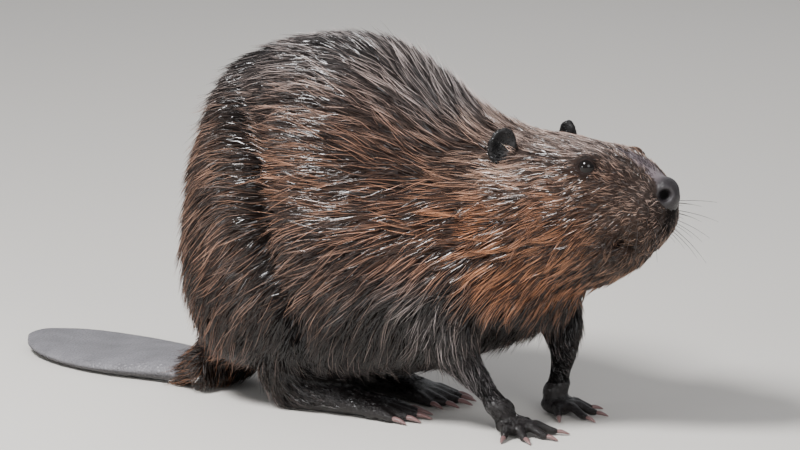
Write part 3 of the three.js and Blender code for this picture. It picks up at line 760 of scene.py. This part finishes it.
def add_bump(mat, layers, distance):
    """Bump from (texture, scale, share) layers laid over the part's own coordinates."""
    tree = mat.node_tree
    coords = tree.nodes.new("ShaderNodeTexCoord")
    total = None
    for kind, scale, share in layers:
        if kind == "voronoi":
            tex = tree.nodes.new("ShaderNodeTexVoronoi")
            tex.feature = "DISTANCE_TO_EDGE"
            out = tex.outputs["Distance"]
        else:
            tex = tree.nodes.new("ShaderNodeTexNoise")
            tex.inputs["Detail"].default_value = 4
            out = tex.outputs["Fac"]
        tex.inputs["Scale"].default_value = scale
        tree.links.new(coords.outputs["Object"], tex.inputs["Vector"])
        gain = tree.nodes.new("ShaderNodeMath")
        gain.operation = "MULTIPLY_ADD"
        gain.inputs[1].default_value = share
        gain.inputs[2].default_value = 0
        tree.links.new(out, gain.inputs[0])
        if total is not None:
            tree.links.new(total, gain.inputs[2])
        total = gain.outputs[0]
    bump = tree.nodes.new("ShaderNodeBump")
    bump.inputs["Distance"].default_value = distance
    tree.links.new(total, bump.inputs["Height"])
    tree.links.new(bump.outputs["Normal"], tree.nodes["Principled BSDF"].inputs["Normal"])


fur_skin = material("fur_skin", roughness=0.9, Specular_IOR_Level=0.1)
coat_mat = material("wet_fur", roughness=0.22, Specular_IOR_Level=0.5)
foot_mat = material("foot_skin", roughness=0.36, Specular_IOR_Level=0.4)
add_bump(foot_mat, [("voronoi", 620, 0.8), ("noise", 160, 0.5)], distance=0.0012)
nose_mat = material("nose_skin", roughness=0.4)
add_bump(nose_mat, [("voronoi", 700, 0.6), ("noise", 260, 0.3)], distance=0.0008)
ear_mat = material("ear_skin", roughness=0.6, Specular_IOR_Level=0.25)
tail_mat = material("scaly_skin", roughness=0.45)
add_bump(tail_mat, [("voronoi", 230, 1.0), ("noise", 60, 0.3)], distance=0.002)
claw_mat = material("claw", roughness=0.3, base=(120, 93, 91))
eye_mat = material("eye", roughness=0.05, base=(14, 9, 7), Specular_IOR_Level=0.35)
whisker_mat = material("whisker", roughness=0.35, base=(40, 34, 32))
floor_mat = material("floor", roughness=0.8, base=(214, 210, 204))


def set_colours(mesh, colours):
    layer = mesh.color_attributes.new("Coat", "FLOAT_COLOR", "POINT")
    rgba = np.concatenate([colours, np.ones((len(colours), 1))], axis=1)
    layer.data.foreach_set("color", rgba.astype(np.float32).ravel())


# ---- The skin's piece ----

# each material of the skin after the first: what it covers, from what share of a face
SKIN_MATERIALS = [fur_skin, foot_mat, nose_mat, ear_mat, tail_mat]
FUR, FOOT, NOSE, EAR, TAIL = range(len(SKIN_MATERIALS))
COVERS = [
    (FOOT, feet, 0.5), (NOSE, bare_nose, 0.5), (FUR, nostril, 0.4), (EAR, is_kind["ear"], 0.5),
    (TAIL, is_kind["tail_blade"], 0.5),
]


def per_face(values):
    return values[skin_t].mean(axis=1)


skin = add_object("skin", mesh_from("skin", to_row(skin_v), skin_t))
set_colours(skin.data, paint)
for mat in SKIN_MATERIALS:
    skin.data.materials.append(mat)
face_material = np.zeros(len(skin_t), np.int32)
for index, cover, least in COVERS:
    face_material[per_face(cover) > least] = index
skin.data.polygons.foreach_set("material_index", face_material)
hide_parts(*flesh)
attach(skin, "root")

# ---- The unwrap that the coat's colours lie on ----

UNWRAP_GRAIN = 7.0
UNWRAP_ANGLE = math.radians(72)
UNWRAP_MARGIN = 0.004


def unwrapped(verts, tris):
    """A plain copy of the skin's shape with an unwrap, as a tree, triangles and corner coordinates."""
    low_v, low_t = remeshed([(verts, tris)], UNWRAP_GRAIN)
    low_v = relaxed(low_v, edges_of(low_t), share=0.5, times=4)
    ob = add_object("unwrap", mesh_from("unwrap", low_v, low_t))
    bpy.ops.object.select_all(action="DESELECT")
    ob.select_set(True)
    bpy.context.view_layer.objects.active = ob
    bpy.ops.object.mode_set(mode="EDIT")
    bpy.ops.mesh.select_all(action="SELECT")
    bpy.ops.uv.smart_project(angle_limit=UNWRAP_ANGLE, island_margin=UNWRAP_MARGIN, scale_to_bounds=False)
    bpy.ops.object.mode_set(mode="OBJECT")
    uv = np.empty(len(ob.data.loops) * 2, np.float32)
    ob.data.uv_layers.active.data.foreach_get("uv", uv)
    tree = BVHTree.FromPolygons(low_v.tolist(), low_t.tolist())
    remove_with_mesh(ob)
    return tree, low_v, low_t, uv.reshape(-1, 3, 2)


unwrap_tree, unwrap_v, unwrap_t, unwrap_uv = unwrapped(skin_v, skin_t)


def places_on_unwrap(points):
    """The unwrap's coordinates at the points of its shape nearest to points."""
    hits = [unwrap_tree.find_nearest(p) for p in points.tolist()]
    face = np.array([h[2] for h in hits])
    at = np.array([tuple(h[0]) for h in hits])
    a, b, c = (unwrap_v[unwrap_t[face, k]] for k in range(3))
    ab, ac, ap = b - a, c - a, at - a
    d00, d01, d11 = (ab * ab).sum(1), (ab * ac).sum(1), (ac * ac).sum(1)
    d20, d21 = (ap * ab).sum(1), (ap * ac).sum(1)
    scale = np.maximum(d00 * d11 - d01 * d01, 1e-9)
    v = (d11 * d20 - d01 * d21) / scale
    w = (d00 * d21 - d01 * d20) / scale
    weights = np.stack([1 - v - w, v, w], axis=1)
    return (unwrap_uv[face] * weights[:, :, None]).sum(axis=1)


# ---- How thick and long the coat is, and its darker places ----

THINNEST = 0.3
# the slick hairs of the ridge end before the pad, and take the ridge's grey with its painted sheen
SLICK_END, SLICK_HAIR = (128, 142), 0.6
SLICK_SHEEN_COLOURS = np.concatenate([RIDGE_SHEEN_COLOUR * 0.5, RIDGE_SHEEN_COLOUR * 1.1])
# the haired parts of the feet: faces that look up, and the heels above the floor, but not the toes
FOOT_TOP, ABOVE_FLOOR = (-0.1, 0.35), (5, 13)
HIND_HEEL, FORE_HEEL = (25, 55), (135, 150)
HIND_TOES, FORE_TOES = (-10, 18), (150, 172)
# distances from an eye: where hairs begin, are short and low, are sparse, and are dark
EYE_BARE, EYE_SHORT, EYE_SPARSE, EYE_DARK = (9.0, 9.8), (10, 20), (10, 14), (9.5, 13.5)
EYE_SHORTENING, EYE_LOWERING, EYE_THINNING, EYE_DARKENING = 0.65, 0.6, 0.5, 0.55
# the crease: how wide its hairs are sparse, short and dark with painted shade, and by how much
CREASE_SPARSE, CREASE_SHORT, CREASE_SHADED = (9, 0.6), (10, 0.4), 13
CREASE_HAIR_SHADE = np.repeat([0.75, 0.7], 3)
EAR_SHORTENING, EAR_FINENESS = 0.8, 0.4

slick = ridge * (1 - np.clip(is_kind["nose"] * 2, 0, 1)) * (1 - ramp(ahead_v, *SLICK_END))
foot_top = ramp(skin_n[:, 2], *FOOT_TOP)
x, fore, hind = skin_v[:, 0], is_kind["fore_foot"], is_kind["hind_foot"]
heel = hind * ramp(-x, *HIND_HEEL) + fore * (1 - ramp(x, *FORE_HEEL))
foot_top = np.maximum(foot_top, heel * ramp(skin_v[:, 2], *ABOVE_FLOOR))
foot_top = foot_top * (1 - fore * ramp(x, *FORE_TOES)) * (1 - hind * ramp(x, *HIND_TOES))
near_eye = 1 - ramp(eye_gap, *EYE_SHORT)
near_ear = np.clip(relaxed(is_kind["ear"], edges, share=0.6, times=12) * 2, 0, 1)

density = np.zeros(len(skin_v))
for kind, thickness in zip(KINDS, THICKNESS):
    density += is_kind[kind] * thickness
density *= 1 - feet * (1 - foot_top)
density *= (1 - bare_nose * (1 - SLICK_HAIR * slick)) * ramp(eye_gap, *EYE_BARE)
density *= 1 - EYE_THINNING * (1 - ramp(eye_gap, *EYE_SPARSE))
in_fold = (1 - CREASE_SPARSE[1] * crease_at(skin_v, CREASE_SPARSE[0])) * (1 - LIPS_SHADE_AND_THINNING * lips_at(skin_v))
density *= in_fold * (1 - UNDER_NOSE_SHADE_AND_THINNING * under_nose)
density[density < THINNEST] = 0

hair_length = hair_length * (1 - EYE_SHORTENING * near_eye) * (1 - EAR_SHORTENING * near_ear)
hair_length = hair_length * (1 - CREASE_SHORT[1] * crease_at(skin_v, CREASE_SHORT[0]))
hair_rise = hair_rise * (1 - EYE_LOWERING * near_eye) * (1 - EAR_SHORTENING * near_ear)
hair_width = hair_width * (1 - EAR_FINENESS * near_ear)

# the colours of roots and tips
# hairs on the ridge take its grey with the painted sheen
tint[:, :6] = blend(tint[:, :6], SLICK_SHEEN_COLOURS, slick)
tint[:, :6] *= 1 - EYE_DARKENING * (1 - ramp(eye_gap, *EYE_DARK))[:, None]
tint[:, :6] = blend(tint[:, :6], np.tile(EAR_COLOUR, 2), np.clip(is_kind["ear"] * 2, 0, 1))
# hairs in the crease darkened with painted shade
tint[:, :6] *= 1 - CREASE_HAIR_SHADE * crease_at(skin_v, CREASE_SHADED)[:, None]

# where the wet coat hangs in large locks: place on the right side, reach, strength
LOCKS = [
    ((140, -80, 215), 75, 0.9), ((215, -75, 215), 45, 0.55), ((190, -30, 150), 70, 0.9),
    ((60, -100, 90), 70, 0.8), ((-60, -105, 75), 80, 0.8), ((-190, -60, 70), 80, 0.9),
    ((60, -10, 340), 60, 0.6), ((-200, -30, 300), 70, 0.6), ((-60, -90, 270), 60, 0.35),
]
LEAST_SOAKED = 0.22
soaked = np.full(len(skin_v), LEAST_SOAKED)
for place, reach, strength in LOCKS:
    soaked = np.maximum(soaked, strength * np.exp(-((right_v - place) ** 2).sum(1) / reach ** 2))

# ---- Hairs ----

triangle_area = np.linalg.norm(np.cross(
    skin_v[skin_t[:, 1]] - skin_v[skin_t[:, 0]], skin_v[skin_t[:, 2]] - skin_v[skin_t[:, 0]]), axis=1) / 2

ROOT_SUNK = 0.8
# how far a hair leans out, how much more if it is stiff, and how its rise grows along it
LEAN, STIFF_LEAN, RISE_GROWTH = 0.1, 0.45, 0.85
# how hairs gather: more towards the tip, and never quite together
GATHER_GROWTH, GATHER_JITTER = 1.4, 0.35
ROLL, FLATNESS = 1.4, 0.55
# the width of a hair at each of its rings, by their number
SHAPE = {4: np.array([0.9, 1.0, 0.8, 0.45]), 3: np.array([1.0, 0.9, 0.55]), 2: np.array([1.0, 0.7])}


def finder(places):
    """A function that says which of some places is nearest to each of its points."""
    tree = KDTree(len(places))
    for index, place in enumerate(places.tolist()):
        tree.insert(place, index)
    tree.balance()
    return lambda points: np.array([tree.find(p)[1] for p in points.tolist()])


nearest_vertex = finder(skin_v)


def on_skin(points):
    """The skin's surface under points, with the nearest vertex of each."""
    at = nearest_vertex(points)
    lift = ((points - skin_v[at]) * skin_n[at]).sum(1, keepdims=True)
    return points - lift * skin_n[at], at


def roots(count):
    """Random places on the skin, more where the coat is thicker."""
    chance = triangle_area * per_face(density)
    face = rng.choice(len(skin_t), count, p=chance / chance.sum())
    a, b = rng.random(count), rng.random(count)
    flip = a + b > 1
    a, b = np.where(flip, 1 - a, a)[:, None], np.where(flip, 1 - b, b)[:, None]
    first, second, third = (skin_v[skin_t[face, k]] for k in range(3))
    return first + a * (second - first) + b * (third - first)


def paths(start, length, rise, steps, bend):
    """Hairs that follow the skin, stiff ones less so: points along them and the normals under those."""
    here, at = on_skin(start)
    out, stiff = skin_n[at], hair_stiff[at][:, None]
    wander = bend[:, None] * np.cross(out, way[at])
    straight = unit(unit(way[at] + wander) + (LEAN + STIFF_LEAN * stiff) * out)
    origin = here - ROOT_SUNK * out
    points, normals = [origin], [out]
    for step in range(1, steps + 1):
        t = step / steps
        here, at = on_skin(here + unit(way[at] + wander) * (length / steps)[:, None])
        bent = here + (rise * t ** RISE_GROWTH)[:, None] * skin_n[at]
        points.append(bent + stiff * t * (origin + straight * (length * t)[:, None] - bent))
        normals.append(skin_n[at])
    return np.stack(points, 1), np.stack(normals, 1)


def gathered(path, guide_path, pull):
    """Hairs drawn to the nearest guide's path, most at the tips, as wet hair is, and which guide it was."""
    which = finder(guide_path[:, 1])(path[:, 1])
    t = np.linspace(0, 1, path.shape[1])[None, :, None]
    goal = guide_path[which]
    jitter = rng.normal(size=path.shape) * GATHER_JITTER
    return path + (goal + jitter - path) * pull[:, None, None] * t ** GATHER_GROWTH, which


def spikes(path, normals, width):
    """Closed three-sided tapering spikes along the paths."""
    count, points = path.shape[:2]
    rings = points - 1
    tangent = unit(np.concatenate([path[:, 1:2] - path[:, :1], path[:, 2:] - path[:, :-2]], axis=1))
    level = unit(np.cross(tangent, normals[:, :rings]))
    roll = rng.uniform(-ROLL, ROLL, count)[:, None, None]
    side = np.cos(roll) * level + np.sin(roll) * np.cross(level, tangent)
    upward = np.cross(side, tangent)
    half = (width[:, None] * SHAPE[rings])[:, :, None] / 2
    ring = np.stack([
        path[:, :rings] - side * half, path[:, :rings] + side * half,
        path[:, :rings] + upward * half * 2 * FLATNESS], axis=2)
    verts = np.concatenate([ring.reshape(count, rings * 3, 3), path[:, -1:]], axis=1)
    last = (rings - 1) * 3
    tip = [(last + j, rings * 3, last + (j + 1) % 3) for j in range(3)]
    return verts, np.array([(0, 1, 2)] + wall(rings, 3) + tip)


# ---- The layers of the coat ----

# the low dense layer, the one that hangs in locks, and the long pale hairs: their length, rise and width are
# against the table's, pull is how strongly they gather to small guides and lock_pull to large locks; bright
# is how light a layer is, the low layer darker partly as painted shade deep between the locks
LAYERS = [
    dict(count=62000, steps=2, length=0.75, rise=(0.25, 0.7), width=1.3, pull=0.5, guides=9000, locks=1300,
         lock_pull=0.15, light=0.2, bright=0.6),
    dict(count=38000, steps=3, length=1.15, rise=(0.5, 1.0), width=0.58, pull=0.92, guides=4600, locks=1300,
         lock_pull=0.8, light=0.75, bright=1.15),
    dict(count=10500, steps=4, length=1.6, rise=(0.85, 1.15), width=0.5, pull=0.85, guides=3000, locks=900,
         lock_pull=0.5, light=2.3, bright=1.5),
]
LENGTH_SPREAD, WIDTH_SPREAD, BRIGHT_SPREAD = 0.18, 0.2, 0.22
# how hairs bend aside: each by itself, more on the scruffy muzzle, and with its neighbours
BEND_SPREAD, BEND, BEND_FINE = 0.13, 0.2, 0.22
SCRUFF, SCRUFF_FROM = 0.3, (85, 120)
# the ragged edge of hair over the crease: where it is, and how far its tips reach past it
EDGE_BEHIND, EDGE_SIDE, EDGE_ABOVE, CROSSING = -4, 40, 90, 0.2
REACH, REACH_WAVER, REACH_SPREAD, SHORTEST, EDGE_RISE = 15, 14, 5, 7, 3
# guides stand where the coat is thin as well as where it is thick
GUIDE_EVENNESS = 0.6
WET, WET_WAVER, WET_RANGE, MOST_WET, MOST_LOCKED = 0.75, 0.4, (0.1, 1.2), 0.95, 0.9
# light hairs lie together in locks by this share, and how light a light or a dark hair is
LOCK_LIGHT, LIT, UNLIT = 0.35, (0.4, 1.0), (0.0, 0.16)
MOTTLE, MOTTLE_FINE = 0.2, 0.14
# hairs darken towards the root, partly as painted shade deep in the coat
ROOT_DARK_AND_SHADE, ROOT_FADE = 0.45, 1.5
PATCH = 0.003
FLOOR_GAP, LEAST_GAP = 1.0, 0.1
HIGHEST = cad_box[1][2] * MM_IN_M + 8


def cut_over_crease(start, length, rise):
    """Lengths and rises of hairs, with those just ahead of the crease cut to a ragged overhang."""
    before = ahead_of_crease(start)
    over = (before > EDGE_BEHIND) & (before < length)
    over &= (np.abs(start[:, 1]) > EDGE_SIDE) & (start[:, 2] > EDGE_ABOVE)
    over &= noise(start, "crossing") < CROSSING
    ragged = before + REACH + REACH_WAVER * noise(start, "ragged")
    ragged = ragged + rng.uniform(-REACH_SPREAD, REACH_SPREAD, len(start))
    return np.where(over, np.clip(ragged, SHORTEST, length), length), np.where(over, rise + EDGE_RISE, rise)


def hair_colours(start, at, lock_light, steps, light, bright):
    """Colours along each hair, dark at its root, partly as painted shade deep in the coat."""
    count = len(start)
    dark, pale, pale_share = tint[at, :3], tint[at, 3:6], tint[at, 6]
    lit = ((1 - LOCK_LIGHT) * rng.random(count) + LOCK_LIGHT * lock_light) < pale_share * light
    shade = np.where(lit, rng.uniform(*LIT, count), rng.uniform(*UNLIT, count))
    body = blend(dark, pale, shade)
    mottle = np.exp(MOTTLE * noise(start, "mottle") + MOTTLE_FINE * noise(start, "mottle_fine"))[:, None]
    body = body * bright * mottle * np.exp(rng.normal(size=(count, 1)) * BRIGHT_SPREAD)
    root = np.minimum(dark * ROOT_DARK_AND_SHADE, body)
    fade = np.clip(along_hair(steps) * ROOT_FADE, 0, 1)[None, :, None]
    return np.clip(root[:, None] * (1 - fade) + body[:, None] * fade, 0, 1)


def along_hair(steps):
    """How far along a hair each of its vertices is: three to a ring, and the tip."""
    return np.concatenate([np.repeat(np.arange(steps) / steps, 3), [1.0]])


def small_patches(start, steps):
    """Each hair's unwrap: a small patch where its root lies on the skin's unwrap."""
    around = np.append(np.tile([0.0, 0.5, 1.0], steps), 0.0)
    corner = np.stack([around, along_hair(steps)], axis=1)
    return places_on_unwrap(start)[:, None] + (corner[None] - 0.5) * PATCH


def coat_layer(count, steps, length, rise, width, pull, guides, locks, lock_pull, light, bright):
    """One layer of hairs: vertices (hairs, per hair, 3), triangles of one, colours, unwrap and roots."""
    start = roots(count)
    at = nearest_vertex(start)
    length = hair_length[at] * length * np.exp(rng.normal(size=count) * LENGTH_SPREAD)
    rise = hair_rise[at] * rng.uniform(*rise, size=count)
    scruff = SCRUFF * ramp(in_head(start)[:, 0], *SCRUFF_FROM)
    bend = rng.normal(size=count) * (BEND_SPREAD + scruff)
    bend = bend + noise(start, "bend") * BEND + noise(start, "bend_fine") * BEND_FINE
    length, rise = cut_over_crease(start, length, rise)
    path, normals = paths(start, length, rise, steps, bend)
    chance = np.maximum(density[at], THINNEST) ** -GUIDE_EVENNESS
    small = rng.choice(count, guides, replace=False, p=chance / chance.sum())
    wet = pull * np.clip(WET + WET_WAVER * noise(start, "wet"), *WET_RANGE)
    path, lock = gathered(path, path[small], np.clip(wet, 0, MOST_WET))
    large = rng.choice(count, locks, replace=False)
    path, _ = gathered(path, path[large], np.clip(lock_pull * soaked[at], 0, MOST_LOCKED))
    width = hair_width[at] * width * np.exp(rng.normal(size=count) * WIDTH_SPREAD)
    path[:, :, 2] = np.clip(path[:, :, 2], FLOOR_GAP, HIGHEST)
    verts, tris = spikes(path, normals, width)
    verts[..., 2] = np.maximum(verts[..., 2], LEAST_GAP)
    colours = hair_colours(start, at, rng.random(guides)[lock], steps, light, bright)
    return {"verts": verts, "tris": tris, "colours": colours, "uv": small_patches(start, steps), "at": at,
            "start": start}


# ---- The coat's pieces ----

SHOULDER_FROM, RUMP_FROM, MUZZLE_FROM = 40, -120, 62


def piece_of(layer):
    """The name of the piece that each hair belongs to."""
    start = layer["start"]
    side = np.where(start[:, 1] > middle_line(start), "left", "right")
    kind = kinds[layer["at"]]
    name = np.where(start[:, 0] > RUMP_FROM, "flank", "rump")
    name = np.where(start[:, 0] > SHOULDER_FROM, "shoulder", name)
    name = np.where(is_any(kind, "forearm", "fore_foot", "hind_foot"), "leg", name)
    name = np.where(is_any(kind, "neck"), "neck", name)
    face = np.where(in_head(start)[:, 0] > MUZZLE_FROM, "muzzle", "head")
    name = np.where(is_any(kind, "head", "jaw", "ear"), face, name)
    return np.char.add(np.char.add(name, "_"), side)


def coat_piece(name, layers, names):
    """The mesh of one piece of the coat, from the hairs of every layer that belong to it."""
    parts, colours, uvs = [], [], []
    for layer, piece in zip(layers, names):
        mine = np.nonzero(piece == name)[0]
        verts = layer["verts"][mine]
        tris = layer["tris"][None] + (np.arange(len(mine)) * verts.shape[1])[:, None, None]
        parts.append((verts.reshape(-1, 3), tris.reshape(-1, 3)))
        colours.append(layer["colours"][mine].reshape(-1, 3))
        uvs.append(layer["uv"][mine].reshape(-1, 2))
    verts, tris = joined(parts)
    mesh = mesh_from("coat_" + name, to_row(verts), tris, smooth=False)
    set_colours(mesh, np.concatenate(colours))
    mesh.uv_layers.new(name="OFBake")
    corners = np.concatenate(uvs)[tris.ravel()]
    mesh.uv_layers["OFBake"].data.foreach_set("uv", corners.astype(np.float32).ravel())
    mesh.materials.append(coat_mat)
    return mesh


layers = [coat_layer(**layer) for layer in LAYERS]
names = [piece_of(layer) for layer in layers]
for name in np.unique(np.concatenate(names)):
    piece = add_object("coat_" + name, coat_piece(name, layers, names))
    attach(piece, "root")

# ---- Eyes and claws ----

WELD = 1e-5
CLAW_LEVELS = 2

for eye in EYES:
    v, t = ball(eye["centre"], eye["radius"], rings=32, around=48)
    piece = add_object("eyeball_" + eye["side"], mesh_from("eyeball_" + eye["side"], to_row(v), t))
    piece.data.materials.append(eye_mat)
    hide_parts("eye_" + eye["side"])
    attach(piece, "root")

for name in claws:
    ob = nodes[name]
    ob.data.materials.clear()
    ob.data.materials.append(claw_mat)
    ob.modifiers.new("weld", "WELD").merge_threshold = WELD
    rounding = ob.modifiers.new("round", "SUBSURF")
    rounding.levels = rounding.render_levels = CLAW_LEVELS

# ---- Whiskers ----

# the first whisker's root ahead, aside and up in the head's frame, and the step to the next column and row
WHISKER_AT, WHISKER_COLUMN, WHISKER_ROW = np.array([128, 28, 236]), np.array([5, -3, 2]), np.array([0, 0, -8])
WHISKER_ROWS = WHISKER_COLUMNS = 4
WHISKER_LENGTH, LONGER, WHISKER_SPREAD, WHISKER_SUNK = 33, 7, (0.85, 1.15), 3
WHISKER_RADIUS, WHISKER_TAPER, WHISKER_POINTS = 0.32, 0.75, 7
# the same for the way it points, and how much that varies
HEADING = np.array([0.55, 0.95, 0.12])
HEADING_COLUMN, HEADING_ROW = np.array([0.12, -0.1, 0]), np.array([0, 0, -0.25])
HEADING_SPREAD = 0.05
DROOP = 0.12 * UP + 0.2 * AHEAD


def whisker(sign, row, column):
    """One whisker as a thin tube that droops back."""
    ahead, aside, up = WHISKER_AT + column * WHISKER_COLUMN + row * WHISKER_ROW
    root = out_of_head(ahead, sign * aside, up)
    length = (WHISKER_LENGTH + LONGER * column) * rng.uniform(*WHISKER_SPREAD)
    onward, outward, rise = HEADING + column * HEADING_COLUMN + row * HEADING_ROW
    rise += rng.normal() * HEADING_SPREAD
    heading = unit(onward * AHEAD + sign * outward * LEFT + rise * UP)
    t = np.linspace(0, 1, WHISKER_POINTS)[:, None]
    points = root - WHISKER_SUNK * heading + t * length * heading - t ** 2 * length * DROOP
    return tube(points, WHISKER_RADIUS * (1 - WHISKER_TAPER * t[:, 0]), around=4)


whisker_v, whisker_t = joined([
    whisker(sign, row, column)
    for sign in (-1, 1) for row in range(WHISKER_ROWS) for column in range(WHISKER_COLUMNS)])
whiskers = add_object("whiskers", mesh_from("whiskers", to_row(whisker_v), whisker_t))
whiskers.data.materials.append(whisker_mat)
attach(whiskers, "root")

# ---- Floor, light and camera: in metres ----

FLOOR_HALF = 6
SKY_COLOUR, SKY_STRENGTH = (0.93, 0.95, 1.0, 1), 0.45
TARGET = Vector((0.080, -0.0006, 0.188))
AZIMUTH, ELEVATION, DISTANCE = math.radians(26), math.radians(12), 5.5
LENS, SENSOR = 247.5, 36

corners = np.array([[-1, -1, 0], [1, -1, 0], [1, 1, 0], [-1, 1, 0]], float) * FLOOR_HALF
floor = add_object("floor", mesh_from("floor", corners, np.array([[0, 1, 2, 3]])))
floor.data.materials.append(floor_mat)

world = bpy.data.worlds.new("studio")
bpy.context.scene.world = world
world.use_nodes = True
world.node_tree.nodes["Background"].inputs["Color"].default_value = SKY_COLOUR
world.node_tree.nodes["Background"].inputs["Strength"].default_value = SKY_STRENGTH


def look_from(ob, at):
    ob.location = at
    ob.rotation_euler = (TARGET - Vector(at)).to_track_quat("-Z", "Y").to_euler()


def area_light(name, at, size, power):
    """A round lamp that looks at the target."""
    lamp = bpy.data.lights.new(name, "AREA")
    lamp.shape = "DISK"
    lamp.size = size
    lamp.energy = power
    ob = add_object(name, lamp)
    look_from(ob, at)


for lamp in (("key", (-0.5, -1.4, 2.2), 0.7, 118), ("fill", (2.0, -1.6, 1.2), 1.5, 26),
             ("low", (-1.8, -2.6, 0.7), 0.8, 22), ("rim", (-0.4, 1.8, 1.6), 2.4, 6)):
    area_light(*lamp)

lens = bpy.data.cameras.new("camera")
lens.lens = LENS
lens.sensor_width = SENSOR
camera = add_object("camera", lens)
look_from(camera, TARGET + DISTANCE * Vector((
    math.sin(AZIMUTH) * math.cos(ELEVATION), -math.cos(AZIMUTH) * math.cos(ELEVATION), math.sin(ELEVATION))))
bpy.context.scene.camera = camera
